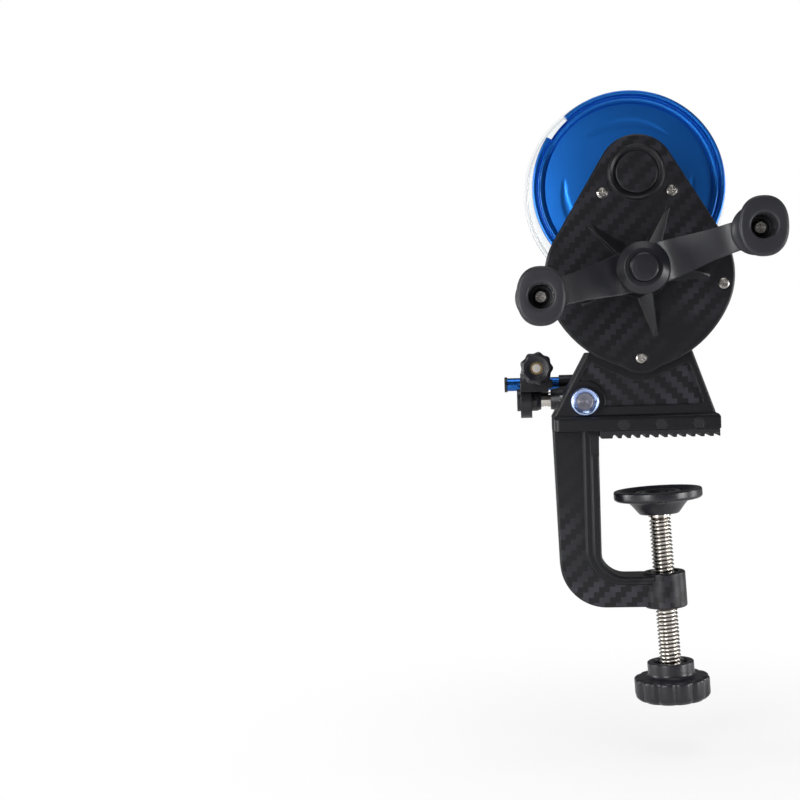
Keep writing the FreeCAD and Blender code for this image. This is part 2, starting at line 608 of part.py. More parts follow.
def make_gearbox_cover():
    """Front cover: bevelled shield, badge ring, crank boss and five fins."""
    plate = plate_y(cover_outline(), COVER_FACE + COVER_BEVEL, COVER_BACK)
    bevel = Part.makeLoft([outline(cover_outline(COVER_BEVEL), lambda x, z: V(x, COVER_FACE, z)),
                           outline(cover_outline(), lambda x, z: V(x, COVER_FACE + COVER_BEVEL, z))], True, True)
    ring_in, ring_out = BADGE_R + 0.25, BADGE_RING_R
    top = COVER_FACE - BADGE_RING_HEIGHT
    ring = turned_y([(ring_in, COVER_FACE + 0.5), (ring_out + 0.2, COVER_FACE + 0.5), (ring_out, top + 0.3),
                     (ring_out - 0.3, top), (ring_out - 0.7, top), (ring_in + 0.4, COVER_FACE - 0.1)],
                    AXIS_X, SPINDLE_Z)
    boss = turned_y([(0, COVER_BACK - 1), (BOSS_FOOT_R, COVER_BACK - 1), (BOSS_FOOT_R, COVER_FACE - 1.0),
                     (BOSS_HEAD_R, BOSS_HEAD_Y), (0, BOSS_HEAD_Y)], CRANK_X, CRANK_Z)
    fins = [make_fin(FIN_FIRST + k * 360 / FIN_COUNT) for k in range(FIN_COUNT)]
    cover = fused(plate, bevel, ring, boss, *fins)
    cover = cover.cut(rod_y(BADGE_R + SEAT, COVER_FACE - 3, COVER_FACE + 1.0, AXIS_X, SPINDLE_Z))
    cover = cover.cut(rod_y(BUSH_R, BOSS_HEAD_Y - 1, COVER_BACK + 1, CRANK_X, CRANK_Z))
    cover = cover.cut(rod_y(NOSE_BUSH_R, COVER_FACE + 1.9, COVER_BACK + 1, AXIS_X, SPINDLE_Z))
    for x, z in cover_screw_places():
        cover = cover.cut(rod_y(SCREW_SHANK_R + 0.1, COVER_FACE - 1, COVER_BACK + 1, x, z))
        cover = cover.cut(rod_y(SCREW_HEAD_R + 0.3, COVER_FACE - 1, COVER_FACE + HEAD_SINK, x, z))
    return cover.removeSplitter()


def make_badge_disc():
    """Plain round plate set in the badge ring."""
    top = COVER_FACE - BADGE_RING_HEIGHT + 0.1
    return turned_y([(0, COVER_FACE + 1.0), (BADGE_R, COVER_FACE + 1.0), (BADGE_R, top + 0.4),
                     (BADGE_R - 0.4, top), (0, top)], AXIS_X, SPINDLE_Z)


def make_cover_screws():
    return group(pan_screw_y(x, z, COVER_FACE + HEAD_SINK, SCREW_HEAD_R, 1.5, SCREW_SHANK_R,
                             SCREW_LENGTH - 1, SCREW_HEAD_R * 0.62) for x, z in cover_screw_places())


def make_housing_screws():
    screws = []
    for x, z in housing_screw_places():
        head = rod_y(SCREW_HEAD_R, BASE_BACK, BASE_BACK + 1.6, x, z)
        shank = rod_y(SCREW_SHANK_R, HOUSING_BACK - SCREW_LENGTH + 1, BASE_BACK, x, z)
        screws.append(fused(head, shank).cut(phillips_y(x, z, BASE_BACK + 1.6, 1.1, 1.5, 0.6, -1)))
    return group(screws)


def bush(y0, y1, flange_y0, flange_y1, x, z):
    """A flanged plain bush for the crank shaft."""
    sleeve = rod_y(BUSH_R, y0, y1, x, z)
    flange = rod_y(BUSH_R + 1.6, flange_y0, flange_y1, x, z)
    return fused(sleeve, flange).cut(rod_y(SHAFT_R + RUN, y0 - 2, y1 + 2, x, z))


def make_crank_bushes():
    front = bush(BOSS_HEAD_Y, COVER_BACK - 1, BOSS_HEAD_Y - 0.8, BOSS_HEAD_Y, CRANK_X, CRANK_Z)
    back = bush(GEAR_BACK + 1.5, HOUSING_BACK, GEAR_BACK + 0.7, GEAR_BACK + 1.5, CRANK_X, CRANK_Z)
    return group((front, back))


def make_spindle_bearings():
    """A plain bush behind the badge and a ball bearing, drawn as one ring, in the housing floor."""
    front = rod_y(NOSE_BUSH_R, COVER_FACE + 1.9, COVER_BACK + 1.5, AXIS_X, SPINDLE_Z)
    front = front.cut(rod_y(SHAFT_R + RUN, COVER_FACE + 1.9, COVER_BACK + 3, AXIS_X, SPINDLE_Z))
    back = rod_y(BEARING_R, HOUSING_BACK - BEARING_WIDE, HOUSING_BACK, AXIS_X, SPINDLE_Z)
    back = back.cut(rod_y(SHAFT_R + RUN, HOUSING_BACK - 6, HOUSING_BACK + 1, AXIS_X, SPINDLE_Z))
    return group((front, back))


def involute_gear(teeth, y0, y1, bore_r, phase):
    """A spur gear along Y, its flanks as short chords of the involute."""
    pitch_r = MODULE * teeth / 2
    base_r = pitch_r * math.cos(PRESSURE)
    tip_r, root_r = pitch_r + 0.95 * MODULE, pitch_r - 1.2 * MODULE
    half = math.pi / (2 * teeth) - BACKLASH / (2 * pitch_r)
    at_pitch = math.tan(PRESSURE) - PRESSURE
    points = []
    for tooth in range(teeth):
        middle = 2 * math.pi * tooth / teeth + phase
        flank = []
        start = max(base_r, root_r)
        for step in range(FLANK_STEPS + 1):
            r = start + (tip_r - start) * step / FLANK_STEPS
            roll = math.acos(min(1.0, base_r / r))
            flank.append((r, half + at_pitch - (math.tan(roll) - roll)))
        if root_r < base_r:
            flank.insert(0, (root_r, flank[0][1]))
        for r, off in flank:
            points.append((r * math.cos(middle - off), r * math.sin(middle - off)))
        for r, off in reversed(flank):
            points.append((r * math.cos(middle + off), r * math.sin(middle + off)))
    corners = [V(x, y0, z) for x, z in points]
    solid = Part.Face(Part.makePolygon(corners + corners[:1])).extrude(V(0, y1 - y0, 0))
    return solid.cut(rod_y(bore_r, y0 - 1, y1 + 1))


def keyed_shaft(r, y0, y1, flat_y0, flat_y1):
    """A shaft along Y with a flat between flat_y0 and flat_y1."""
    return rod_y(r, y0, y1).cut(box(-r, r, flat_y0, flat_y1, r * KEY_FLAT, r + 1))


def key_block(r, y0, y1):
    return box(-r, r, y0, y1, r * KEY_FLAT, r + 1).common(rod_y(r, y0, y1))


def at_crank(shape):
    shape.translate(V(CRANK_X, 0, CRANK_Z))
    return shape


def at_spindle(shape):
    shape.translate(V(AXIS_X, 0, SPINDLE_Z))
    return shape


def make_drive_gear():
    """Large gear on the crank shaft: thin web, thick rim and a keyed hub."""
    gear = involute_gear(GEAR_TEETH, GEAR_FRONT, GEAR_BACK, SHAFT_R, MESH_ANGLE)
    web_in, web_out = SHAFT_R + 5, GEAR_R - 5
    for y0, y1 in ((GEAR_FRONT - 1, GEAR_FRONT + 2.5), (GEAR_BACK - 2.5, GEAR_BACK + 1)):
        gear = gear.cut(rod_y(web_out, y0, y1).cut(rod_y(web_in, y0, y1)))
    return at_crank(fused(gear, key_block(SHAFT_R, GEAR_FRONT, GEAR_BACK)))


def make_crank_shaft():
    shaft = keyed_shaft(SHAFT_R, NUT_SEAT, HOUSING_BACK + 2.4, GEAR_FRONT, GEAR_BACK)
    hub_flat = box(-SHAFT_R, SHAFT_R, HUB_FACE, HUB_BACK, SHAFT_R * KEY_FLAT, SHAFT_R + 1)
    hub_flat.rotate(ORIGIN, Y_AXIS, -CRANK_TURN)
    shaft = shaft.cut(hub_flat).fuse(rod_y(NOSE_R, HUB_FACE + 1, NUT_SEAT))
    shaft = shaft.cut(ring_y(SHAFT_R + 1, CLIP_GROOVE_R, HOUSING_BACK + GAP, HOUSING_BACK + GAP + CLIP_THICK))
    return at_crank(shaft)


def ring_y(r_out, r_in, y0, y1):
    return rod_y(r_out, y0, y1).cut(rod_y(r_in, y0 - 1, y1 + 1))


def make_shaft_clip(place, y0):
    """Retaining ring in a shaft's groove, open at one side."""
    clip = ring_y(SHAFT_R + 2.0, CLIP_GROOVE_R, y0, y0 + CLIP_THICK)
    return place(clip.cut(box(-1.2, 1.2, y0 - 1, y0 + 2, 0, SHAFT_R + 4)))


def make_pinion():
    facing = MESH_ANGLE + math.pi + math.pi / PINION_TEETH
    pinion = involute_gear(PINION_TEETH, GEAR_FRONT, GEAR_BACK, SHAFT_R, facing)
    return at_spindle(fused(pinion, key_block(SHAFT_R, GEAR_FRONT, GEAR_BACK)))


# ---------------------------------------------------------------- crank
def turned_crank(shape):
    """Turns a shape built with the crank level to the crank's rest angle, on its axis."""
    shape.rotate(ORIGIN, Y_AXIS, -CRANK_TURN)
    return at_crank(shape)


def crank_side_profile(way):
    """The S-shaped arm seen from above: from the hub out and forward to the grip's seat."""
    bend = CRANK_REACH * 0.38
    out = CRANK_REACH - ARM_END_WIDTH / 2 - 1.5
    face = HUB_FACE + HUB_STEP

    def curve(y_in, y_out):
        poles = [V(way * HUB_R * 0.6, y_in, 0), V(way * bend, y_in, 0), V(way * (out - bend * 0.55), y_out, 0),
                 V(way * out, y_out, 0)]
        bezier = Part.BezierCurve()
        bezier.setPoles(poles)
        return bezier.toShape()

    front = curve(face, ARM_END_FACE)
    back = curve(face + ARM_THICK, ARM_END_FACE + ARM_THICK)
    end_x = way * (CRANK_REACH + ARM_END_WIDTH / 2)
    far = [V(way * out, ARM_END_FACE, 0), V(end_x, ARM_END_FACE, 0), V(end_x, ARM_END_FACE + ARM_THICK, 0),
           V(way * out, ARM_END_FACE + ARM_THICK, 0)]
    near = [V(way * HUB_R * 0.6, face + ARM_THICK, 0), V(0, face + ARM_THICK, 0), V(0, face, 0),
            V(way * HUB_R * 0.6, face, 0)]
    edges = [front] + [Part.makeLine(far[i], far[i + 1]) for i in range(3)]
    edges += [back] + [Part.makeLine(near[i], near[i + 1]) for i in range(3)]
    return Part.Face(Part.Wire(Part.sortEdges(edges)[0]))


def crank_plan(way):
    """The arm seen from the front: wide at the hub, narrow and round at the end."""
    root, end = ARM_ROOT_WIDTH / 2, ARM_END_WIDTH / 2
    middle = way * CRANK_REACH * 0.62
    return [(0, -root), (way * HUB_R, -root * 0.92), (middle, -end * 1.12), (way * CRANK_REACH, -end),
            ("arc", way * (CRANK_REACH + end), 0),
            (way * CRANK_REACH, end), (middle, end * 1.12), (way * HUB_R, root * 0.92), (0, root)]


def make_crank_arm():
    """Two-armed crank with a bevelled hub; the arms sweep forward to the grips."""
    hub = turned_y([(0, HUB_BACK), (HUB_R - 1.0, HUB_BACK), (HUB_R, HUB_BACK - 1.0), (HUB_R, HUB_FACE + 2.0),
                    (HUB_R - 3.2, HUB_FACE), (0, HUB_FACE)])
    arms = []
    for way in (-1, 1):
        swept = crank_side_profile(way).extrude(V(0, 0, ARM_ROOT_WIDTH))
        swept.translate(V(0, 0, -ARM_ROOT_WIDTH / 2))
        arms.append(swept.common(plate_y(crank_plan(way), ARM_END_FACE - 1, HUB_BACK)))
    crank = fused(hub, *arms)
    crank = crank.cut(rod_y(SHAFT_R, NUT_SEAT, HUB_BACK + 1)).fuse(key_block(SHAFT_R, NUT_SEAT, HUB_BACK))
    crank = crank.cut(rod_y(HUB_CAP_R, HUB_FACE - 1, HUB_FACE + 1))
    crank = crank.cut(rod_y(NUT_R + SEAT, HUB_FACE - 1, NUT_SEAT))
    for way in (-1, 1):
        crank = crank.cut(rod_y(GRIP_SCREW_R, ARM_END_FACE - 1, ARM_END_FACE + ARM_THICK + 1, way * CRANK_REACH, 0))
    return turned_crank(crank)


def make_crank_cap():
    """Domed cap over the hub's nut."""
    return turned_crank(turned_y([(0, HUB_FACE + 1), (HUB_CAP_R - SEAT, HUB_FACE + 1), (HUB_CAP_R, HUB_CAP_FACE + 1.0),
                                  (HUB_CAP_R - 0.7, HUB_CAP_FACE + 0.2), (HUB_CAP_R * 0.5, HUB_CAP_FACE),
                                  (0, HUB_CAP_FACE)]))


def make_crank_nut():
    """Hexagonal nut on the shaft's threaded nose, hidden by the cap."""
    corners = [(NUT_R * math.cos(k * math.pi / 3), NUT_R * math.sin(k * math.pi / 3)) for k in range(6)]
    nut = plate_y(corners, HUB_FACE + 1.2, NUT_SEAT).cut(rod_y(NOSE_R, HUB_FACE, NUT_SEAT + 1))
    return turned_crank(nut)


def grip_places():
    turn = math.radians(CRANK_TURN)
    return [(CRANK_X + way * CRANK_REACH * math.cos(turn), CRANK_Z + way * CRANK_REACH * math.sin(turn))
            for way in (-1, 1)]


def grip(x, z):
    """A free-turning grip: round foot, waist, and an oval flared face with a bowl for its screw."""
    foot_y = ARM_END_FACE - GAP
    waist_y = (foot_y + GRIP_FACE) / 2
    neck_y = GRIP_FACE + GRIP_LIP * 0.7
    body = turned_y([(0, foot_y), (GRIP_FOOT_R - 0.6, foot_y), (GRIP_FOOT_R, foot_y - 0.8),
                     (GRIP_FOOT_R, foot_y - 3.4), (GRIP_WAIST_R, waist_y - 0.4), (GRIP_FOOT_R - 1.2, neck_y),
                     (0, neck_y)])

    def oval(y, wide, tall):
        ring = Part.Ellipse(V(0, y, tall / 2), V(wide / 2, y, 0), V(0, y, 0))
        return Part.Wire([ring.toShape()])

    face = Part.makeLoft([oval(GRIP_FACE + GRIP_LIP, GRIP_WIDE - GRIP_TAPER_WIDE, GRIP_TALL - GRIP_TAPER_TALL),
                          oval(GRIP_FACE + GRIP_LIP * 0.45, GRIP_WIDE, GRIP_TALL),
                          oval(GRIP_FACE + 0.9, GRIP_WIDE, GRIP_TALL),
                          oval(GRIP_FACE, GRIP_WIDE - 1.6, GRIP_TALL - 1.6)], True, True)
    knob = fused(body, face)
    bowl = turned_y([(0, GRIP_FACE - 1), (GRIP_BOWL_R + 0.9, GRIP_FACE - 1), (GRIP_BOWL_R, GRIP_FACE + 1.4),
                     (GRIP_BOWL_R - 0.4, GRIP_FACE + GRIP_BOWL_DEPTH), (0, GRIP_FACE + GRIP_BOWL_DEPTH)])
    knob = knob.cut(bowl).cut(rod_y(GRIP_BUSH_R + RUN, GRIP_FACE, foot_y + 1))
    knob.translate(V(x, 0, z))
    return knob


def make_left_grip():
    return grip(*grip_places()[0])


def make_right_grip():
    return grip(*grip_places()[1])


def make_grip_bushes():
    """Spacer tubes that the grips turn on, clamped between screw head and arm."""
    front = GRIP_FACE + GRIP_BOWL_DEPTH - GAP
    return group(ring_y(GRIP_BUSH_R, GRIP_SCREW_R, front, ARM_END_FACE).translated(V(x, 0, z))
                 for x, z in grip_places())


def make_grip_screws():
    seat = GRIP_FACE + GRIP_BOWL_DEPTH - GAP
    return group(pan_screw_y(x, z, seat, GRIP_HEAD_R, 2.0, GRIP_SCREW_R,
                             ARM_END_FACE + ARM_THICK - seat, GRIP_HEAD_R * 0.65) for x, z in grip_places())


# ---------------------------------------------------------------- spindle and spool
def make_spindle():
    """Shaft of the spool: front journal, keyed pinion seat, collar for the drive disc, threaded tail."""
    shaft = keyed_shaft(SHAFT_R, COVER_FACE + 2.4, TAIL_END, GEAR_FRONT, GEAR_BACK)
    shaft = shaft.cut(ring_y(SHAFT_R + 1, CLIP_GROOVE_R, SPINDLE_CLIP_Y, SPINDLE_CLIP_Y + CLIP_THICK))
    return at_spindle(shaft.fuse(rod_y(SPINDLE_COLLAR_R, COLLAR_FRONT, DISC_BACK)))


def make_drive_disc():
    """Friction disc whose nose centres the spool and whose face drives it."""
    front, tip = DISC_BACK - DISC_THICK, DISC_BACK + NOSE_REACH
    disc = turned_y([(SPINDLE_COLLAR_R, COLLAR_FRONT), (DISC_HUB_R, COLLAR_FRONT), (DISC_HUB_R, front),
                     (DISC_R, front), (DISC_R, DISC_BACK), (SPOOL_BORE_R - SEAT, DISC_BACK),
                     (SPOOL_BORE_R - NOSE_TAPER, tip), (SHAFT_R, tip), (SHAFT_R, DISC_BACK),
                     (SPINDLE_COLLAR_R, DISC_BACK)])
    return at_spindle(disc)


def make_blue_flange():
    """Metallic front flange of the spool: a dished web inside a raised double rim."""
    web = SPOOL_FRONT + SPOOL_LIP
    r = BLUE_FLANGE_R
    flange = turned_y([(SPOOL_BORE_R, web), (r - 6.5, web), (r - 5.2, SPOOL_FRONT + 1.2),
                       (r - 3.6, SPOOL_FRONT + 0.8), (r - 2.6, SPOOL_FRONT + 1.8), (r - 1.8, SPOOL_FRONT + 0.3),
                       (r - 0.6, SPOOL_FRONT), (r, SPOOL_FRONT + 0.8), (r, web + FLANGE_THICK),
                       (SPOOL_BORE_R, web + FLANGE_THICK)])
    notch_in, notch_out = r - NOTCH_DEPTH, r + 1
    start, end = math.radians(NOTCH_FROM), math.radians(NOTCH_TO)
    turn = (start + end) / 2
    notch = plate_y([(notch_in * math.cos(start), notch_in * math.sin(start)),
                     ("arc", notch_in * math.cos(turn), notch_in * math.sin(turn)),
                     (notch_in * math.cos(end), notch_in * math.sin(end)),
                     (notch_out * math.cos(end), notch_out * math.sin(end)),
                     (notch_out * math.cos(start), notch_out * math.sin(start))],
                    SPOOL_FRONT - 1, web + FLANGE_THICK + 1)
    return at_spindle(flange.cut(notch))


def make_spool_core():
    return at_spindle(ring_y(CORE_R, SPOOL_BORE_R, LINE_FRONT, LINE_BACK))


def make_clear_flange():
    """Clear rear flange with a thick rim."""
    r = CLEAR_FLANGE_R
    flange = turned_y([(SPOOL_BORE_R, LINE_BACK), (r - 2.0, LINE_BACK), (r - 1.2, LINE_BACK - 1.2),
                       (r, LINE_BACK - 1.2), (r, SPOOL_BACK), (SPOOL_BORE_R, SPOOL_BACK)])
    return at_spindle(flange)


def make_wound_line():
    """The fishing line as one full winding between the flanges."""
    front, back = LINE_FRONT, LINE_BACK
    wound = turned_y([(CORE_R, front), (LINE_R - 1.5, front), (LINE_R, front + 3), (LINE_R, back - 3),
                      (LINE_R - 1.5, back), (CORE_R, back)])
    return at_spindle(wound)


def make_retaining_cone():
    """Sliding cone that centres and presses the spool from behind."""
    tip, brim = SPOOL_BACK - NOSE_REACH, SPOOL_BACK + CONE_BRIM_THICK
    cone = turned_y([(SHAFT_R + RUN, tip), (SPOOL_BORE_R - NOSE_TAPER, tip), (SPOOL_BORE_R - SEAT, SPOOL_BACK),
                     (CONE_BRIM_R, SPOOL_BACK), (CONE_BRIM_R, brim), (DISC_HUB_R, CONE_BACK),
                     (SHAFT_R + RUN, CONE_BACK)])
    return at_spindle(cone)


def make_lock_nut():
    """Hand nut with grip flutes on the spindle's threaded tail."""
    back, far = CONE_BACK + LOCK_NUT_WIDE, LOCK_NUT_R + LOCK_FLUTE_OUT
    nut = ring_y(LOCK_NUT_R, SHAFT_R + RUN, CONE_BACK, back)
    for k in range(LOCK_NUT_FLUTES):
        around = k * 2 * math.pi / LOCK_NUT_FLUTES
        flute = rod_y(LOCK_FLUTE_R, CONE_BACK - 1, back + 1, far * math.cos(around), far * math.sin(around))
        nut = nut.cut(flute)
    return at_spindle(nut)


# ---------------------------------------------------------------- clamp screw
def make_screw_insert():
    """Threaded metal bush in the boss, drawn with a plain bore."""
    body = rod_z(INSERT_R, BOSS_BOTTOM + INSERT_SINK, BOSS_TOP - INSERT_SINK)
    return leaned(body.cut(rod_z(SCREW_R + RUN, BOSS_BOTTOM - 1, BOSS_TOP + 1)))


def make_clamp_screw():
    """Long screw: ball at the top inside the pad, plain core for the thread, end in the hand knob."""
    shoulder = PAD_BOTTOM - GAP - WASHER_THICK - RUN
    shaft = rod_z(SCREW_R, KNOB_TOP - COLLAR_HEIGHT - SCREW_KNOB_HEIGHT + 2, shoulder)
    neck = rod_z(NECK_R, shoulder, BALL_Z)
    ball = Part.makeSphere(BALL_R, V(0, 0, BALL_Z))
    ball = ball.cut(box(-BALL_R, BALL_R, -BALL_R, BALL_R, BALL_Z + BALL_R * 0.6, BALL_Z + BALL_R))
    screw = fused(shaft, neck, ball)
    screw = screw.cut(rod_z(RETAINER_R, BALL_Z - 1, BALL_Z + BALL_R))
    return leaned(screw.cut(knob_pin_shape(0.0)))


def knob_pin_shape(spare):
    z = KNOB_TOP - COLLAR_HEIGHT - SCREW_KNOB_HEIGHT * 0.55
    return rod_x(PIN_R + spare, -PIN_REACH, PIN_REACH, 0, z)


def make_knob_pin():
    """Cross pin that locks the hand knob to the screw."""
    return leaned(knob_pin_shape(0.0))


def make_screw_knob():
    """Fluted hand knob with an open collar round the screw."""
    body_top = KNOB_TOP - COLLAR_HEIGHT
    bottom = body_top - SCREW_KNOB_HEIGHT
    r = SCREW_KNOB_R
    knob = turned_z([(0, bottom), (r - 2.4, bottom), (r, bottom + 1.6), (r, body_top - 1.6),
                     (r - 1.6, body_top - 0.3),
                     (COLLAR_R + 1.2, body_top), (COLLAR_R, body_top + 0.8), (COLLAR_R, KNOB_TOP - 0.6),
                     (COLLAR_R - 0.8, KNOB_TOP), (0, KNOB_TOP)])
    for k in range(KNOB_FLUTES):
        around = (k + 0.5) * 2 * math.pi / KNOB_FLUTES
        far = r + FLUTE_R - FLUTE_DEPTH
        knob = knob.cut(rod_z(FLUTE_R, bottom - 1, body_top + 0.2, far * math.cos(around), far * math.sin(around)))
    knob = knob.cut(rod_z(COLLAR_BORE_R, KNOB_TOP - COLLAR_BORE_DEPTH, KNOB_TOP + 1))
    knob = knob.cut(rod_z(SCREW_R, bottom + 2, KNOB_TOP))
    return leaned(knob.cut(knob_pin_shape(0.0)))


def make_clamp_pad():
    """Swivelling pad: thin rim, dished top with a raised ring, flared neck over the screw's ball."""
    r, top = PAD_R, PAD_TOP
    low = top - PAD_RIM
    pad = turned_z([(0, PAD_BOTTOM), (PAD_NECK_R - 0.5, PAD_BOTTOM), (PAD_NECK_R, PAD_BOTTOM + 0.5),
                    (PAD_CONE_R - 1.4, low - 1.8), (PAD_CONE_R, low - 0.6), (PAD_CONE_R + 1.0, low),
                    (r - 1.4, low), (r, low + 0.9), (r, top - 0.5), (r - 0.5, top), (r - RIM_WIDE, top),
                    (r - RIM_WIDE - 1.9, top - DISH_DEPTH), (RING_OUT + 0.8, top - DISH_DEPTH),
                    (RING_OUT, top - 0.9), (RING_IN, top - 0.9), (RING_IN - 0.8, top - DISH_DEPTH - 0.6),
                    (0, top - DISH_DEPTH - 0.6)])
    socket = Part.makeSphere(BALL_R + BALL_GAP, V(0, 0, BALL_Z))
    mouth = turned_z([(0, PAD_BOTTOM - 1), (NECK_R + 1.6, PAD_BOTTOM - 1), (NECK_R + 0.8, BALL_Z - 3),
                      (NECK_R + 0.8, BALL_Z), (0, BALL_Z)])
    hole = rod_z(RETAINER_R + 1.2, BALL_Z, top)
    pit = rod_z(RETAINER_HEAD_R + 1.2, BALL_Z + BALL_R * 0.6, top)
    return leaned(pad.cut(socket).cut(mouth).cut(hole).cut(pit))


def make_pad_retainer():
    """Screw and washer in one that hold the pad on the ball from above."""
    seat = BALL_Z + BALL_R * 0.6
    head = turned_z([(0, seat), (RETAINER_HEAD_R, seat), (RETAINER_HEAD_R, seat + 0.9),
                     (RETAINER_HEAD_R - 1.1, seat + 1.8),
                     (0, seat + 1.8)])
    shank = rod_z(RETAINER_R, BALL_Z - 1, seat)
    low, high = seat + 0.9, seat + 2
    slot = box(-1.9, 1.9, -0.35, 0.35, low, high).fuse(box(-0.35, 0.35, -1.9, 1.9, low, high))
    return leaned(fused(head, shank).cut(slot))


def make_thrust_washer():
    """Washer on the screw's neck below the pad: it travels with the screw without turning."""
    washer = rod_z(WASHER_R, PAD_BOTTOM - GAP - WASHER_THICK, PAD_BOTTOM - GAP)
    return leaned(washer.cut(rod_z(NECK_R + RUN, PAD_BOTTOM - 4, PAD_BOTTOM)))


# ---------------------------------------------------------------- rod-holder arm
def make_cross_tube():
    """Anodised tube across the base, with a bevelled front end."""
    tube = turned_y([(TUBE_BORE_R, TUBE_FRONT + 0.8), (TUBE_BORE_R + 0.8, TUBE_FRONT), (TUBE_R - 0.6, TUBE_FRONT),
                     (TUBE_R, TUBE_FRONT + 0.6), (TUBE_R, TUBE_BACK), (TUBE_BORE_R, TUBE_BACK)], TUBE_X, TUBE_Z)
    return tube


def make_tube_plugs():
    """Dished plug in the tube's front end and a flat one in its back end."""
    front = turned_y([(0, TUBE_FRONT + 3.0), (1.2, TUBE_FRONT + 2.6), (TUBE_BORE_R - 0.6, TUBE_FRONT + 0.9),
                      (TUBE_BORE_R, TUBE_FRONT + 0.9), (TUBE_BORE_R, TUBE_FRONT + 7), (0, TUBE_FRONT + 7)], TUBE_X, TUBE_Z)
    back = rod_y(TUBE_BORE_R, TUBE_BACK - 6, TUBE_BACK, TUBE_X, TUBE_Z)
    cap = rod_y(TUBE_R, TUBE_BACK, TUBE_BACK + 1.2, TUBE_X, TUBE_Z)
    return group((front, fused(back, cap)))


def make_tube_set_screw():
    """Set screw from the base's left edge against the tube."""
    screw = rod_x(GRUB_R, GRUB_LEFT + 0.6, TUBE_X - TUBE_R - RUN, 0, TUBE_Z)
    return screw.cut(hex_socket_x(GRUB_LEFT + 0.5, 2.2, 1.4, 0, TUBE_Z))


def hex_socket_x(x0, depth, r, y, z):
    corners = [V(x0, y + r * math.cos(k * math.pi / 3), z + r * math.sin(k * math.pi / 3)) for k in range(6)]
    return Part.Face(Part.makePolygon(corners + corners[:1])).extrude(V(depth, 0, 0))


def make_arm_bracket():
    """Black arm on the cross tube: hub, cone for the chrome shaft and socket for the stay tube."""
    hub = rod_y(HUB_TUBE_R, ARM_FRONT, ARM_BACK, TUBE_X, TUBE_Z)
    cone_long = CONE_RIGHT - CONE_LEFT
    cone = Part.makeCone(CONE_LEFT_R, CONE_RIGHT_R, cone_long, V(CONE_LEFT, ROD_Y, ROD_Z), X_AXIS)
    socket = rod_x(SOCKET_R, STAY_RIGHT - 1.2, TUBE_X, STAY_Y, STAY_Z)
    bracket = fused(hub, cone, socket)
    bracket = bracket.cut(rod_y(TUBE_R, ARM_FRONT - 1, ARM_BACK + 1, TUBE_X, TUBE_Z))
    bracket = bracket.cut(rod_x(CHROME_R + RUN, CONE_LEFT - 1, TUBE_X - TUBE_R - 1.5, ROD_Y, ROD_Z))
    bracket = bracket.cut(rod_x(STAY_R, STAY_RIGHT - 2, STAY_RIGHT + STAY_SEAT, STAY_Y, STAY_Z))
    return bracket


def make_stay_tube():
    stay = rod_x(STAY_R, STAY_LEFT, STAY_RIGHT + STAY_SEAT, STAY_Y, STAY_Z)
    return stay.cut(rod_x(STAY_R - STAY_WALL, STAY_LEFT - 1, STAY_RIGHT + STAY_SEAT + 1, STAY_Y, STAY_Z))


def make_stay_cap():
    """Plastic cap in the stay tube's free end."""
    plug = rod_x(STAY_R - STAY_WALL, STAY_LEFT, STAY_LEFT + 5, STAY_Y, STAY_Z)
    return fused(plug, rod_x(STAY_R + 0.5, STAY_LEFT - 1.4, STAY_LEFT, STAY_Y, STAY_Z))


def make_holder_block():
    """Block that slides on the stay tube and carries the ring and the clamping bolt."""
    runner = rod_x(STAY_R + 2.2, BLOCK_LEFT, BLOCK_SKIRT, STAY_Y, STAY_Z)
    low, high, lip = STAY_Z - 1.8, STAY_Z + 2.4, STAY_Z - 3.2
    plate = box(BLOCK_LEFT, BLOCK_RIGHT, BLOCK_FRONT, BLOCK_FRONT + EAR_THICK, low, high)
    bridge = box(BLOCK_LEFT, BLOCK_SKIRT, BLOCK_FRONT, STAY_Y, lip, high)
    ear = plate_y([(BLOCK_LEFT, low), (BLOCK_RIGHT, low), (BOLT_X + EAR_R, BOLT_Z),
                   ("arc", BOLT_X, BOLT_Z + EAR_R), (BOLT_X - EAR_R, BOLT_Z)], BLOCK_FRONT, BLOCK_FRONT + EAR_THICK)
    block = fused(runner, plate, bridge, ear)
    block = block.cut(rod_x(STAY_R + RUN, BLOCK_LEFT - 1, BLOCK_RIGHT + 1, STAY_Y, STAY_Z))
    block = block.cut(rod_y(BOLT_R, BLOCK_FRONT - 1, STAY_Y, BOLT_X, BOLT_Z))
    block = block.cut(rod_x(HOLDER_RING_R, BLOCK_LEFT - 1, HOLDER_X + HOLDER_RING_WIDE / 2, ROD_Y, ROD_Z))
    return block.cut(rod_x(SLEEVE_R, BLOCK_LEFT - 1, BLOCK_RIGHT + 1, ROD_Y, ROD_Z))


def make_holder_ring():
    """Clamp ring round the sleeve, with a flat boss on top."""
    x0, x1 = HOLDER_X - HOLDER_RING_WIDE / 2, HOLDER_X + HOLDER_RING_WIDE / 2
    ring = rod_x(HOLDER_RING_R, x0, x1, ROD_Y, ROD_Z)
    return ring.cut(rod_x(SLEEVE_R, x0 - 1, x1 + 1, ROD_Y, ROD_Z))


def make_rod_sleeve():
    """Sleeve through the ring; its left end takes the tip of a rod."""
    x0, x1 = HOLDER_X - SLEEVE_OUT, SLEEVE_RIGHT
    sleeve = rod_x(SLEEVE_R, x0, x1 - 2, ROD_Y, ROD_Z)
    nose = Part.makeCone(SLEEVE_R, SLEEVE_R - 0.7, 2, V(x1 - 2, ROD_Y, ROD_Z), X_AXIS)
    sleeve = fused(sleeve, nose).cut(rod_x(SOCKET_BORE_R, x0 - 1, x0 + SOCKET_DEPTH, ROD_Y, ROD_Z))
    return sleeve.cut(rod_x(CHROME_R, CHROME_LEFT, x1 + 1, ROD_Y, ROD_Z))


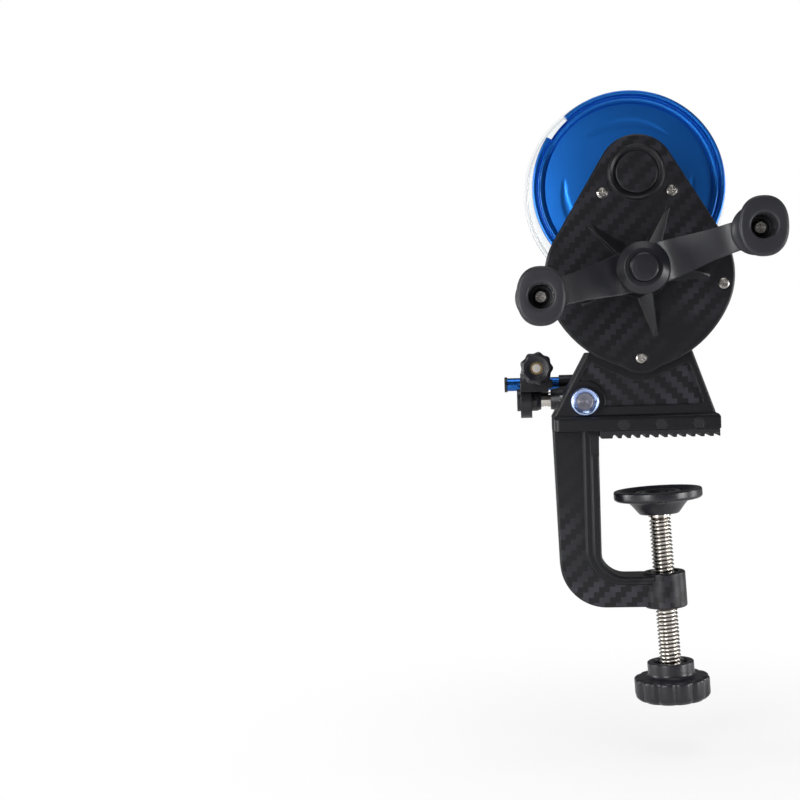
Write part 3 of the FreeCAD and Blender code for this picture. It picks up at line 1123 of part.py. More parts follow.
def make_chrome_shaft():
    """Bright shaft from the sleeve into the arm's cone, which it slides in."""
    shaft = rod_x(CHROME_R, CHROME_LEFT, CHROME_RIGHT, ROD_Y, ROD_Z)
    for x in CHROME_GROOVES:
        shaft = shaft.cut(rod_x(CHROME_R + 1, x, x + 0.7, ROD_Y, ROD_Z).cut(
            rod_x(CHROME_R - 0.35, x - 1, x + 2, ROD_Y, ROD_Z)))
    return shaft


def make_clamp_bolt():
    """Bolt that the lobed knob turns on: hexagonal head behind, thread in front."""
    turns = [k * math.pi / 3 for k in range(6)]
    corners = [(BOLT_X + BOLT_HEAD_R * math.cos(a), BOLT_Z + BOLT_HEAD_R * math.sin(a)) for a in turns]
    back = BLOCK_FRONT + EAR_THICK
    head = plate_y(corners, back, back + BOLT_HEAD_THICK)
    return fused(head, rod_y(BOLT_R, LOBE_KNOB_FACE + 1.0, back, BOLT_X, BOLT_Z))


def make_knob_washer():
    """Steel washer between the lobed knob and the block."""
    back = BLOCK_FRONT - WASHER_PLAY
    return ring_y(5.4, BOLT_R + RUN, back - KNOB_WASHER_THICK, back).translated(V(BOLT_X, 0, BOLT_Z))


def make_lobed_knob():
    """Nine-lobed clamping knob with a stepped recess round the bolt's end."""
    y0 = LOBE_KNOB_FACE
    y1 = y0 + LOBE_KNOB_THICK
    r = LOBE_KNOB_R
    knob = turned_y([(0, KNOB_FOOT), (4.6, KNOB_FOOT), (5.2, y1), (r - 0.8, y1), (r, y1 - 0.8), (r, y0 + 1.0),
                     (r - 1.0, y0),
                     (4.2, y0), (3.9, y0 + 0.9), (0, y0 + 0.9)])
    for k in range(LOBE_KNOB_LOBES):
        around = (k + 0.5) * 2 * math.pi / LOBE_KNOB_LOBES
        far = r + 1.1
        knob = knob.cut(rod_y(1.7, y0 - 1, y1 + 0.01, far * math.cos(around), far * math.sin(around)))
    knob = knob.cut(rod_y(KNOB_NUT_R, y0, KNOB_FOOT + 1))
    return knob.translated(V(BOLT_X, 0, BOLT_Z))


def make_knob_nut():
    """Threaded insert moulded in the lobed knob."""
    return ring_y(KNOB_NUT_R, BOLT_R + RUN, LOBE_KNOB_FACE + 1.4, KNOB_FOOT).translated(V(BOLT_X, 0, BOLT_Z))


# ---------------------------------------------------------------- the nodes
NODES = {
    # clamp frame and gearbox
    "main_frame": make_main_frame,
    "jaw_strip": make_jaw_strip,
    "jaw_plugs": make_jaw_plugs,
    "screw_insert": make_screw_insert,
    "gearbox_housing": make_gearbox_housing,
    "gearbox_cover": make_gearbox_cover,
    "badge_disc": make_badge_disc,
    "cover_screws": make_cover_screws,
    "housing_screws": make_housing_screws,
    "crank_bushes": make_crank_bushes,
    "spindle_bearings": make_spindle_bearings,
    "tube_set_screw": make_tube_set_screw,
    # crank
    "crank_arm": make_crank_arm,
    "crank_cap": make_crank_cap,
    "crank_nut": make_crank_nut,
    "crank_shaft": make_crank_shaft,
    "crank_shaft_clip": lambda: make_shaft_clip(at_crank, HOUSING_BACK + GAP),
    "drive_gear": make_drive_gear,
    "grip_bushes": make_grip_bushes,
    "grip_screws": make_grip_screws,
    "left_grip": make_left_grip,
    "right_grip": make_right_grip,
    # spindle and spool
    "spindle": make_spindle,
    "spindle_clip": lambda: make_shaft_clip(at_spindle, SPINDLE_CLIP_Y),
    "pinion": make_pinion,
    "drive_disc": make_drive_disc,
    "blue_flange": make_blue_flange,
    "spool_core": make_spool_core,
    "clear_flange": make_clear_flange,
    "wound_line": make_wound_line,
    "retaining_cone": make_retaining_cone,
    "lock_nut": make_lock_nut,
    # clamp screw
    "clamp_screw": make_clamp_screw,
    "knob_pin": make_knob_pin,
    "screw_knob": make_screw_knob,
    "clamp_pad": make_clamp_pad,
    "pad_retainer": make_pad_retainer,
    "thrust_washer": make_thrust_washer,
    # rod-holder arm
    "cross_tube": make_cross_tube,
    "tube_plugs": make_tube_plugs,
    "arm_bracket": make_arm_bracket,
    "stay_tube": make_stay_tube,
    "stay_cap": make_stay_cap,
    "holder_block": make_holder_block,
    "holder_ring": make_holder_ring,
    "rod_sleeve": make_rod_sleeve,
    "chrome_shaft": make_chrome_shaft,
    "clamp_bolt": make_clamp_bolt,
    "knob_washer": make_knob_washer,
    "lobed_knob": make_lobed_knob,
    "knob_nut": make_knob_nut,
}

os.makedirs("parts", exist_ok=True)
for name, make in NODES.items():
    shape = make()
    shape.exportStep("parts/" + name + ".step")
    print(name, len(shape.Solids), "solid(s)", round(shape.Volume), "mm3", "valid" if shape.isValid() else "NOT VALID")
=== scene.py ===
# %% [markdown]
# A clamp-on fishing line winder.  Its frame clamps to the edge of a table, a geared crank turns the spool, and a
# small holder at the side takes the rod.  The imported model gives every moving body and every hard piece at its
# real place, so this script only has to bring the looks: a camera, a plain white studio, a material for each
# finish, and new meshes for the pieces whose soft edges, threads and windings matter to the eye.
#
# The shared frame is in metres, and the sizes below are in millimetres; MM turns one into the other.

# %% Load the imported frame
import json
import math
import bmesh
import bpy
from mathutils import Matrix, Vector


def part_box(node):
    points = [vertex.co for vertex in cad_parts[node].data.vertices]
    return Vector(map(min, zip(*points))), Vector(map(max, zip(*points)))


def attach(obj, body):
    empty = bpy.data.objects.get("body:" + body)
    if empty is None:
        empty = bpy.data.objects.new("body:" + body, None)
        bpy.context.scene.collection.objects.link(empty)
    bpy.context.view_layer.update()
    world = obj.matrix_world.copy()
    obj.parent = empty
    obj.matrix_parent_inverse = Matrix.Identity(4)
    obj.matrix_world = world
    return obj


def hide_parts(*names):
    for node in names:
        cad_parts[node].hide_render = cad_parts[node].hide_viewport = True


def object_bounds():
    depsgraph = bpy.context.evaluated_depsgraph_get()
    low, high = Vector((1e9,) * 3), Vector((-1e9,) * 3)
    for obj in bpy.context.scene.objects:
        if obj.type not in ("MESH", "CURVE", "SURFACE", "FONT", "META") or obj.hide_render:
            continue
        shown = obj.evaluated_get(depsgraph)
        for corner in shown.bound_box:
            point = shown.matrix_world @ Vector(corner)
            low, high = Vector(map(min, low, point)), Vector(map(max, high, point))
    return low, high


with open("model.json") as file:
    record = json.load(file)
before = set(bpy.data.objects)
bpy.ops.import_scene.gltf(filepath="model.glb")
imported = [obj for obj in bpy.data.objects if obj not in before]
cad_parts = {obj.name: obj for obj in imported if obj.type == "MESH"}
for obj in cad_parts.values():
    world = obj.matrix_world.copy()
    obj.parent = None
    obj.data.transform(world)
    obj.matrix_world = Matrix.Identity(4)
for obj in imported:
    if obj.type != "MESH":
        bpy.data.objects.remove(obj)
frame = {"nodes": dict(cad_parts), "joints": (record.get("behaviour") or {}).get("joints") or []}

MM = 0.001
cad_box = [list(corner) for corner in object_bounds()]
joints = {joint["name"]: joint for joint in frame["joints"]}


def middle(node):
    """Centre of a CAD node's box, in millimetres."""
    low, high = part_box(node)
    return (low + high) / 2 / MM


# %% [markdown]
# The camera stands about two thirds of a metre in front of the winder, a little to its left, and rolls by about
# five degrees, as a camera held in the hand does.  Blender's camera looks along its own -Z, so it is first tipped
# up to look along +Y.  The turn away from there is one rotation vector: its direction is the axis and its length
# is the angle in radians.  Three Euler angles would do as well, but they depend on their order.

# %% Camera
PICTURE_SIDE = 800
FOCAL_PIXELS = 1416.6
SENSOR_WIDTH = 36.0
CAMERA_PLACE = Vector((-55.57, -659.26, 37.02))
CAMERA_TURN = Vector((-0.02773, 0.02937, 0.0919))
NEAREST, FARTHEST = 0.01, 20.0          # metres

lens = bpy.data.cameras.new("camera")
lens.sensor_width = SENSOR_WIDTH
lens.lens = FOCAL_PIXELS / PICTURE_SIDE * SENSOR_WIDTH
lens.clip_start, lens.clip_end = NEAREST, FARTHEST
camera = bpy.data.objects.new("camera", lens)
bpy.context.scene.collection.objects.link(camera)
level = Matrix.Rotation(math.pi / 2, 4, "X")
turn = Matrix.Rotation(CAMERA_TURN.length, 4, CAMERA_TURN.normalized())
camera.matrix_world = Matrix.Translation(CAMERA_PLACE * MM) @ turn @ level
bpy.context.scene.camera = camera
print("lens", round(lens.lens, 2), "mm")


# %% [markdown]
# The world and every finish below are node trees.  Written out, each node takes several lines, so a few small
# helpers come first: one adds a node with its settings, its fixed input values and its links, and the others
# build on it.  A Mix node has many inputs: 0 is the share, 2 and 3 are the two numbers, 6 and 7 the two colours.

# %% Node helpers
def add(tree, kind, values=None, links=None, **settings):
    """Adds one node: settings are its properties, values its fixed inputs, links its linked inputs."""
    node = tree.nodes.new(kind)
    for name, value in settings.items():
        setattr(node, name, value)
    for key, value in (values or {}).items():
        node.inputs[key].default_value = value
    for key, socket in (links or {}).items():
        tree.links.new(socket, node.inputs[key])
    return node


def math_node(tree, operation, *inputs):
    """A maths node whose inputs are numbers or sockets; returns its output socket."""
    values = {i: v for i, v in enumerate(inputs) if isinstance(v, (int, float))}
    links = {i: v for i, v in enumerate(inputs) if i not in values}
    return add(tree, "ShaderNodeMath", values=values, links=links, operation=operation).outputs[0]


def ramp(tree, source, low, high, start, end, kind="LINEAR"):
    """Maps a value from low..high to start..end, held at both ends; returns its output socket."""
    return add(tree, "ShaderNodeMapRange", interpolation_type=kind, links={"Value": source},
               values={"From Min": low, "From Max": high, "To Min": start, "To Max": end}).outputs[0]


def separate(tree, vector):
    """The X, Y and Z of a vector, as outputs by name."""
    return add(tree, "ShaderNodeSeparateXYZ", links={0: vector}).outputs


# %% [markdown]
# The studio is white to the camera and through clear plastic.  Shiny surfaces see something else: a dim room in
# front, with the white sweep behind and to the sides, which gives black plastic its depth and metal its dark and
# bright bands.  A picture of a real studio would do the same, but a few nodes need no file.

# %% World
WORLD_LIGHT = 0.42
ROOM_FRONT, ROOM_BACK, ROOM_SIDE = 0.05, 0.14, 0.1
BACK_STARTS, BACK_FULL = -0.2, 0.8       # how far a ray heads along Y, from -1 to 1
SIDE_STARTS, SIDE_FULL = 0.55, 0.95      # how far it heads along X, to either side


def seen_directly(tree):
    """1 for rays from the camera or through clear plastic, and 0 for all others."""
    path = add(tree, "ShaderNodeLightPath").outputs
    return math_node(tree, "MAXIMUM", path["Is Camera Ray"], path["Is Transmission Ray"])


world = bpy.data.worlds.new("studio")
bpy.context.scene.world = world
world.use_nodes = True
sky = world.node_tree
background = sky.nodes["Background"]
background.inputs["Color"].default_value = (1, 1, 1, 1)
heading = separate(sky, add(sky, "ShaderNodeTexCoord").outputs["Generated"])
behind = ramp(sky, heading["Y"], BACK_STARTS, BACK_FULL, ROOM_FRONT, ROOM_BACK, "SMOOTHSTEP")
sideways = math_node(sky, "ABSOLUTE", heading["X"])
beside = ramp(sky, sideways, SIDE_STARTS, SIDE_FULL, 0.0, ROOM_SIDE, "SMOOTHSTEP")
room = math_node(sky, "ADD", behind, beside)
glossy = add(sky, "ShaderNodeLightPath").outputs["Is Glossy Ray"]
light = add(sky, "ShaderNodeMix", values={2: WORLD_LIGHT}, links={0: glossy, 3: room}).outputs[0]
strength = add(sky, "ShaderNodeMix", values={3: 1.0}, links={0: seen_directly(sky), 2: light}).outputs[0]
sky.links.new(strength, background.inputs["Strength"])
bpy.context.scene.view_settings.view_transform = "Standard"
print("world", len(sky.nodes), "nodes")


# %% [markdown]
# The lamps are softboxes and reflecting panels, as on a product table.  The main one stands low at the front
# right, a weaker one at the front left, and two narrow panels beside the winder draw a light line along every
# rounded edge.  A large weak one overhead lights the tops.  Small lamps would give black plastic hard white
# spots; wide ones give it soft bands.

# %% Lamps
def soft_lamp(name, place, size, watts, aim=(0, 0, 20)):
    """An area lamp of size (across, up), placed and aimed in millimetres."""
    lamp = bpy.data.lights.new(name, "AREA")
    lamp.shape = "RECTANGLE"
    lamp.size, lamp.size_y = size[0] * MM, size[1] * MM
    lamp.energy = watts
    holder = bpy.data.objects.new(name, lamp)
    bpy.context.scene.collection.objects.link(holder)
    where = Vector(place) * MM
    holder.location = where
    holder.rotation_euler = (Vector(aim) * MM - where).to_track_quat("-Z", "Y").to_euler()


soft_lamp("key", (740, -430, -140), (300, 560), 7.0, aim=(0, 0, -30))
soft_lamp("fill", (-400, -600, 90), (200, 420), 3.2)
soft_lamp("left panel", (-700, 20, 0), (180, 700), 4.0)
soft_lamp("right panel", (700, 100, -60), (180, 700), 3.0)
soft_lamp("top", (0, -150, 900), (600, 600), 2.4)

# %% [markdown]
# Every finish starts from Blender's Principled shader, which can be plastic, metal or clear.  Its colours are
# written here as they would be picked on a screen, and one function turns them into the linear values that the
# renderer adds up.  Patterns are laid out by where a point lies on its own object, so that they move with it.

# %% Surface helpers
def linear(code):
    """An sRGB hex colour as linear red, green, blue and alpha."""
    shares = [int(code[i:i + 2], 16) / 255 for i in (1, 3, 5)]
    return [s / 12.92 if s <= 0.04045 else ((s + 0.055) / 1.055) ** 2.4 for s in shares] + [1.0]


def surface(name, colour, roughness, **values):
    """A material whose shader gets its fixed values; returns the material, its tree and its shader."""
    material = bpy.data.materials.new(name)
    material.use_nodes = True
    shader = material.node_tree.nodes["Principled BSDF"]
    shader.inputs["Base Color"].default_value = linear(colour)
    shader.inputs["Roughness"].default_value = roughness
    for key, value in values.items():
        shader.inputs[key.replace("_", " ")].default_value = value
    return material, material.node_tree, shader


def object_place(tree):
    """Where the shaded point lies on its own object, so that a finish moves with its piece."""
    return add(tree, "ShaderNodeTexCoord").outputs["Object"]


def product(tree, *factors):
    """The product of several sockets; of masks it is 1 where every one of them is 1."""
    total = factors[0]
    for factor in factors[1:]:
        total = math_node(tree, "MULTIPLY", total, factor)
    return total


print("mid grey on a screen is", round(linear("#808080")[0], 3), "of white's light")

# %% [markdown]
# The winder belongs on a table's edge and not on a floor, so the floor lies just low enough to clear the knob
# when the screw is wound all the way out.  It is a sheet of white paper that keeps the soft shadow below the
# winder, and farther away it fades into the white, so that no edge of it shows.

# %% Floor
FLOOR_SIDE = 4000
FADE_NEAR, FADE_FAR = 60, 300
WHITE_BELOW = 0.6                        # how much of the paper is plain white right below the winder
floor_height = cad_box[0][2] + joints["pad_travel"]["range_m"][0]
sheet = bmesh.new()
bmesh.ops.create_grid(sheet, x_segments=1, y_segments=1, size=FLOOR_SIDE * MM / 2,
                      matrix=Matrix.Translation((0, 0, floor_height)))
floor_mesh = bpy.data.meshes.new("floor")
sheet.to_mesh(floor_mesh)
sheet.free()
floor = bpy.data.objects.new("floor", floor_mesh)
bpy.context.scene.collection.objects.link(floor)
paper, tree, shader = surface("white_paper_sweep", "#E9E9E9", 0.9)
far = add(tree, "ShaderNodeVectorMath", operation="LENGTH", links={0: object_place(tree)}).outputs["Value"]
fade = ramp(tree, far, FADE_NEAR * MM, FADE_FAR * MM, WHITE_BELOW, 1.0, "SMOOTHSTEP")
amount = product(tree, fade, seen_directly(tree))
glow = add(tree, "ShaderNodeEmission")
blend = add(tree, "ShaderNodeMixShader", links={0: amount, 1: shader.outputs[0], 2: glow.outputs[0]})
tree.links.new(blend.outputs[0], tree.nodes["Material Output"].inputs["Surface"])
floor_mesh.materials.append(paper)
print("floor at", round(floor_height / MM, 1), "mm")


# %% [markdown]
# Black moulded plastic makes most of the winder.  It is glass-filled nylon from a mould with a fine spark-eroded
# grain: satin, never mirror-like, with slight changes in sheen from spot to spot.  The real grain is about a
# tenth of a millimetre, too fine to show here, so it is drawn about five times as coarse.  No moulded edge is
# razor sharp either.  Bevelling every edge of every piece would be heavy, so a Bevel node turns only the shading
# round each corner, and the edges catch the light.

# %% Moulded plastics
GRAIN = 0.5
EDGE_R = 0.7
SHEEN_PATCH = 14
CLOUD_LOW, CLOUD_HIGH = 0.3, 0.7         # nearly all of a cloudy noise lies between these


def noise(tree, place, size, detail=2.0):
    """Cloudy noise whose patches are about size millimetres across; returns its value socket."""
    return add(tree, "ShaderNodeTexNoise", values={"Scale": 1.0 / (size * MM), "Detail": detail},
               links={"Vector": place}).outputs["Fac"]


def grained(tree, shader, place, grain, depth):
    """Fine moulded bumps and slightly rounded edges on a shader."""
    rounded = add(tree, "ShaderNodeBevel", values={"Radius": EDGE_R * MM}, samples=6).outputs[0]
    bump = add(tree, "ShaderNodeBump", values={"Strength": 1.0, "Distance": depth * MM},
               links={"Height": noise(tree, place, grain), "Normal": rounded})
    tree.links.new(bump.outputs[0], shader.inputs["Normal"])


def vary_sheen(tree, shader, cloud, low, high):
    """Lets a cloudy noise change a shader's roughness from low to high."""
    tree.links.new(ramp(tree, cloud, CLOUD_LOW, CLOUD_HIGH, low, high), shader.inputs["Roughness"])


def moulded(name, colour, roughness, grain=GRAIN, depth=0.02, specular=0.5):
    """Plastic with a moulded grain: fine bumps and a slow change of sheen."""
    material, tree, shader = surface(name, colour, roughness, Specular_IOR_Level=specular)
    place = object_place(tree)
    vary_sheen(tree, shader, noise(tree, place, SHEEN_PATCH, 3.0), roughness - 0.05, roughness + 0.06)
    grained(tree, shader, place, grain, depth)
    return material


frame_nylon = moulded("glass_filled_nylon", "#18181D", 0.33, specular=0.4)
crank_nylon = moulded("matte_nylon", "#1B1B21", 0.36, depth=0.015, specular=0.38)
grip_skin = moulded("soft_touch_rubber", "#25252A", 0.42, depth=0.01, specular=0.35)
knob_nylon = moulded("knob_nylon", "#1B1B21", 0.3, depth=0.01, specular=0.45)
jaw_rubber = moulded("nitrile_rubber", "#1A1A1E", 0.5, grain=0.8, depth=0.02, specular=0.3)
gear_nylon = moulded("natural_nylon", "#DCD8CA", 0.4)
core_plastic = moulded("white_polystyrene", "#D8DADD", 0.35)
plug_plastic = moulded("grey_polyethylene", "#5E5E68", 0.22, depth=0.005, specular=0.6)
print("plastics and paper", [m.name for m in bpy.data.materials])


# %% [markdown]
# The front panels carry a printed film of 2/2 twill weave, as on carbon fibre: every tow passes over two and
# under two, and each row starts one tow further on, which makes the stair-stepped diagonals.  A picture of the
# weave would blur close up, and it is easy to count out instead.  Counting tows along X and Z and subtracting the
# counts gives the diagonal; its remainder by four says which tow lies on top.  The film is rubbed thin in
# patches, so the weave comes and goes.

# %% Twill film
TOW = 2.45
TOWS_REPEAT, TOWS_OVER = 4.0, 1.5        # the first two of every four tows, numbered from 0, lie on top
FILM_DARK = "#101014"
RUBBED_PATCH, RUBBED_FROM, RUBBED_TO = 26, 0.4, 0.6
SPECK, SPECK_FROM, SPECK_TO, SPECK_PALE = 1.2, 0.62, 0.8, 0.35
DARK_SHEEN, PALE_SHEEN = 0.38, 0.32


def tint(tree, share, start, end):
    """A colour from start to end, two hex colours, by a share of 0 to 1; returns its output socket."""
    return add(tree, "ShaderNodeMix", data_type="RGBA", values={6: linear(start), 7: linear(end)},
               links={0: share}).outputs[2]


def weave(tree, place, rising):
    """1 where the crosswise tow lies on top; rising is a socket or number, +1 for diagonals that rise in +X."""
    apart = separate(tree, place)
    across = math_node(tree, "FLOOR", math_node(tree, "DIVIDE", apart["X"], TOW * MM))
    up = math_node(tree, "FLOOR", math_node(tree, "DIVIDE", apart["Z"], TOW * MM))
    diagonal = math_node(tree, "SUBTRACT", across, math_node(tree, "MULTIPLY", up, rising))
    return math_node(tree, "LESS_THAN", math_node(tree, "FLOORED_MODULO", diagonal, TOWS_REPEAT), TOWS_OVER)


def film(name, pale, rising, region, rubbed, whole):
    """Black satin plastic with the twill film on it.

    region(tree, apart, facing) says where the film lies, and pale is the upper tow's colour.  rubbed and whole
    are how much of the film shows where it is worn and where it isn't.
    """
    material, tree, shader = surface(name, FILM_DARK, 0.36, Specular_IOR_Level=0.32)
    coords = add(tree, "ShaderNodeTexCoord").outputs
    place = coords["Object"]
    apart, facing = separate(tree, place), separate(tree, coords["Normal"])
    covered = region(tree, apart, facing)
    sense = rising(tree, apart) if callable(rising) else rising
    worn = ramp(tree, noise(tree, place, RUBBED_PATCH, 3.0), RUBBED_FROM, RUBBED_TO, rubbed, whole)
    shown = product(tree, weave(tree, place, sense), covered, worn)
    specks = ramp(tree, noise(tree, place, SPECK, 4.0), SPECK_FROM, SPECK_TO, 0.0, SPECK_PALE)
    shown = math_node(tree, "ADD", shown, product(tree, specks, covered))
    tree.links.new(tint(tree, shown, FILM_DARK, pale), shader.inputs["Base Color"])
    tree.links.new(ramp(tree, shown, 0.0, 1.0, DARK_SHEEN, PALE_SHEEN), shader.inputs["Roughness"])
    grained(tree, shader, place, GRAIN, 0.012)
    return material


# %% [markdown]
# The film doesn't cover everything.  On the cover it lies on the front face.  On the frame it lies on the sunk
# panel of the base, on the two faces of the C-arm's web and round the screw's boss.  Up the web it fades out
# towards the top, a painted shade for the bar's shadow there.  Each region is a mask made from where a point
# lies and which way it faces.  Painting the faces one by one would also work, but not on a face that is only
# half covered.

# %% Where the film lies
BASE_FOOT, PANEL_FACE = 12.0, -14.4      # the base starts at this height; its sunk panel stands at this depth
PANEL_SLACK = 0.3
WEB_HALF, WEB_TOP = 6.6, 3.0             # just outside the web's two faces, and above its top
# the film fades out between these heights, a painted shade for the bar's shadow on the web's top
WEB_WHOLE, WEB_SHADED = -62, -25           # heights between which the film fades
BOSS_LEFT, BOSS_TOP = -8.5, -61.0
FACES_FRONT, FACES_SIDEWAYS = 0.95, 0.5  # limits of a normal's share along Y and along Z


def above(tree, value, limit):
    """1 where a value lies above a limit in millimetres."""
    return math_node(tree, "GREATER_THAN", value, limit * MM)


def below(tree, value, limit):
    """1 where a value lies below a limit in millimetres."""
    return math_node(tree, "LESS_THAN", value, limit * MM)


def front_faces(tree, apart, facing):
    """1 on faces that look to the front or the back; every region is called with the same three inputs."""
    return math_node(tree, "GREATER_THAN", math_node(tree, "ABSOLUTE", facing["Y"]), FACES_FRONT)


def frame_regions(tree, apart, facing):
    """1 on the base's sunk panel and the boss, and from 1 down to almost 0 up the web of the C-arm."""
    panel = product(tree, above(tree, apart["Z"], BASE_FOOT), above(tree, apart["Y"], PANEL_FACE - PANEL_SLACK),
                    below(tree, apart["Y"], PANEL_FACE + PANEL_SLACK))
    # painted shade: up the web the film fades nearly away towards the top, where the bar shades it
    web = product(tree, below(tree, math_node(tree, "ABSOLUTE", apart["Y"]), WEB_HALF),
                  below(tree, apart["Z"], WEB_TOP),
                  ramp(tree, apart["Z"], WEB_WHOLE * MM, WEB_SHADED * MM, 1.0, 0.15))
    flat = product(tree, front_faces(tree, apart, facing), math_node(tree, "MAXIMUM", panel, web))
    upright = math_node(tree, "LESS_THAN", math_node(tree, "ABSOLUTE", facing["Z"]), FACES_SIDEWAYS)
    boss = product(tree, above(tree, apart["X"], BOSS_LEFT), below(tree, apart["Z"], BOSS_TOP), upright)
    return math_node(tree, "MAXIMUM", flat, boss)


def frame_rising(tree, apart):
    """The weave rises to the right on the C-arm and falls to the right on the base's panel."""
    return ramp(tree, above(tree, apart["Z"], BASE_FOOT), 0.0, 1.0, 1.0, -1.0)


cover_film = film("twill_film_on_cover", "#27272D", 1.0, front_faces, 0.0, 0.9)
# The frame's upper tows are paler than the cover's: painted light, as the frame's base panel stands in more
# light.
frame_film = film("twill_film_on_frame", "#303037", frame_rising, frame_regions, 0.4, 1.0)
print("films", len(cover_film.node_tree.nodes), "and", len(frame_film.node_tree.nodes), "nodes")


# %% [markdown]
# Metals: bright plated steel for the screws, nickel for the shafts, sintered bronze for the bushes, and two
# anodised aluminium tubes.  A metal's colour is all in its reflection, so each gets a noise in its sheen, which
# breaks the reflection up as fine machining marks do.  A bump would do that too, but at this size it only
# sparkles.  On the screws the marks are drawn wider, so that they don't hide the threads and the recesses.

# %% Metals
FINE_MARK, WIDE_MARK = 0.6, 4.0


def metal(name, colour, roughness, mark=FINE_MARK, spread=0.05):
    """Bare or plated metal whose roughness changes by spread over marks of a size."""
    material, tree, shader = surface(name, colour, roughness, Metallic=1.0)
    marks = noise(tree, object_place(tree), mark, 3.0)
    vary_sheen(tree, shader, marks, roughness - spread, roughness + spread)
    return material


plated_steel = metal("nickel_plated_steel", "#D2CBC3", 0.2)
screw_plate = metal("bright_zinc_plate", "#EDE9E4", 0.2, mark=WIDE_MARK, spread=0.03)
head_plate = metal("zinc_plated_screw_heads", "#EFEAE4", 0.28, mark=WIDE_MARK)
chrome = metal("chrome_plate", "#C9C4BE", 0.12)
bronze = metal("sintered_bronze", "#86704E", 0.4)
pale_anodised = metal("pale_blue_anodised_aluminium", "#AFC3F0", 0.25)
blue_anodised = metal("blue_anodised_aluminium", "#2C66B4", 0.25)
print("materials so far", len(bpy.data.materials))

# %% [markdown]
# The roots of the clamp screw's thread are painted dark, a painted shade that stands for the shade deep in the
# grooves between the turns and draws them as dark lines.  A second material on the root faces would end at hard
# edges, so the painted shade goes by depth instead: how deep a point lies is its distance from the screw's axis,
# the length of what is left of its place when the part along the axis is taken away.

# %% Painted shade in the thread's roots
SCREW_R, SCREW_PITCH, THREAD_DEPTH = 5.0, 1.75, 0.95
# the painted shade in the roots is full at the first share and fades out by the second
ROOT_SHADE_FULL, ROOT_SHADE_ENDS = 0.95, 0.55    # shares of the thread's depth, below the crest
leaning = Vector(joints["pad_travel"]["axis"])
root_shaded_plate = screw_plate.copy()
root_shaded_plate.name = "bright_zinc_plate_with_painted_root_shade"
tree = root_shaded_plate.node_tree
shader = tree.nodes["Principled BSDF"]
place = object_place(tree)
along = add(tree, "ShaderNodeVectorMath", operation="PROJECT", links={0: place}, values={1: leaning}).outputs[0]
away = add(tree, "ShaderNodeVectorMath", operation="SUBTRACT", links={0: place, 1: along}).outputs[0]
deep = add(tree, "ShaderNodeVectorMath", operation="LENGTH", links={0: away}).outputs["Value"]
unshaded = ramp(tree, deep, (SCREW_R - THREAD_DEPTH * ROOT_SHADE_FULL) * MM, (SCREW_R - THREAD_DEPTH * ROOT_SHADE_ENDS) * MM,
             0.0, 1.0)
# painted shade: the roots are tinted a dark brownish grey, and the flanks and crest keep the plate's bright
# colour
tree.links.new(tint(tree, unshaded, "#5A544E", "#F4F0EB"), shader.inputs["Base Color"])
print("screw leans", round(math.degrees(leaning.angle(Vector((0, 0, 1)))), 1), "degrees")

# %% [markdown]
# The spool's front flange is plated and then lacquered with a clear blue, a candy finish: the metal below gives
# the gleam, and the lacquer's own gloss lies over it.  Blue metal below a clear coat has the same two layers.

# %% Candy lacquer
blue_lacquer, tree, shader = surface("candy_blue_lacquer", "#1E74D6", 0.38, Metallic=0.9, Coat_Weight=0.6,
                                     Coat_Roughness=0.1)
vary_sheen(tree, shader, noise(tree, object_place(tree), 0.5, 1.0), 0.34, 0.42)
print(blue_lacquer.name)

# %% [markdown]
# The rear flange is clear polystyrene, which lets light through and bends it, and is almost as smooth as glass.
# The line is nylon monofilament.  One thread of it is clear, but a thick winding scatters so much light that it
# looks white and solid, so a pale opaque plastic with cloudy patches stands for it.

# %% Clear plastic and line
clear_styrene, tree, shader = surface("clear_polystyrene", "#F7FAFB", 0.02, IOR=1.5, Transmission_Weight=1.0)
haze = ramp(tree, noise(tree, object_place(tree), 9), 0.0, 1.0, 0.01, 0.04)
tree.links.new(haze, shader.inputs["Roughness"])

line_nylon, tree, shader = surface("nylon_monofilament", "#A9B6BC", 0.25, IOR=1.53, Coat_Weight=0.3)
clouds = noise(tree, object_place(tree), 2, 3.0)
tree.links.new(tint(tree, clouds, "#93A3AB", "#C2CCD0"), shader.inputs["Base Color"])
print(clear_styrene.name, line_nylon.name)


# %% [markdown]
# New pieces are built in millimetres with bmesh, turned into metres at the end, given a finish and hung on a
# body, and the CAD nodes that they stand for are hidden.  Edges sharper than a limit stay crisp and the rest
# shade smooth.

# %% New pieces
def new_piece(name, bm, material, body, nodes, sharp=35, flat=False):
    """Makes a bmesh an object on a body, hiding the CAD nodes it stands for; flat keeps large faces evenly
    shaded.
    """
    bmesh.ops.scale(bm, vec=(MM, MM, MM), verts=bm.verts)
    mesh = bpy.data.meshes.new(name)
    bm.to_mesh(mesh)
    bm.free()
    mesh.shade_smooth()
    mesh.set_sharp_from_angle(angle=math.radians(sharp))
    mesh.materials.append(material)
    piece = bpy.data.objects.new(name, mesh)
    bpy.context.scene.collection.objects.link(piece)
    if flat:
        even = piece.modifiers.new("even shading", "WEIGHTED_NORMAL")
        even.keep_sharp = True
    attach(piece, body)
    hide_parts(*nodes)
    print(name, len(mesh.polygons), "faces")


# %% [markdown]
# Most of the pieces are round.  A modifier could turn a profile too, but bmesh's spin makes the mesh at once, so
# that more can be joined to it.  The spin leaves doubled points where the turn closes and on the axis; they are
# merged, and the faces are all turned outwards.

# %% Turned bodies
MERGE_GAP = 1e-4


def tidy(bm):
    """Merges doubles, drops faces without area and turns every face outwards."""
    bmesh.ops.remove_doubles(bm, verts=bm.verts, dist=MERGE_GAP)
    bmesh.ops.dissolve_degenerate(bm, edges=bm.edges, dist=MERGE_GAP)
    bmesh.ops.recalc_face_normals(bm, faces=bm.faces)
    return bm


def moved(bm, matrix):
    """Moves a bmesh by a matrix and returns it."""
    bmesh.ops.transform(bm, matrix=matrix, verts=bm.verts)
    return bm


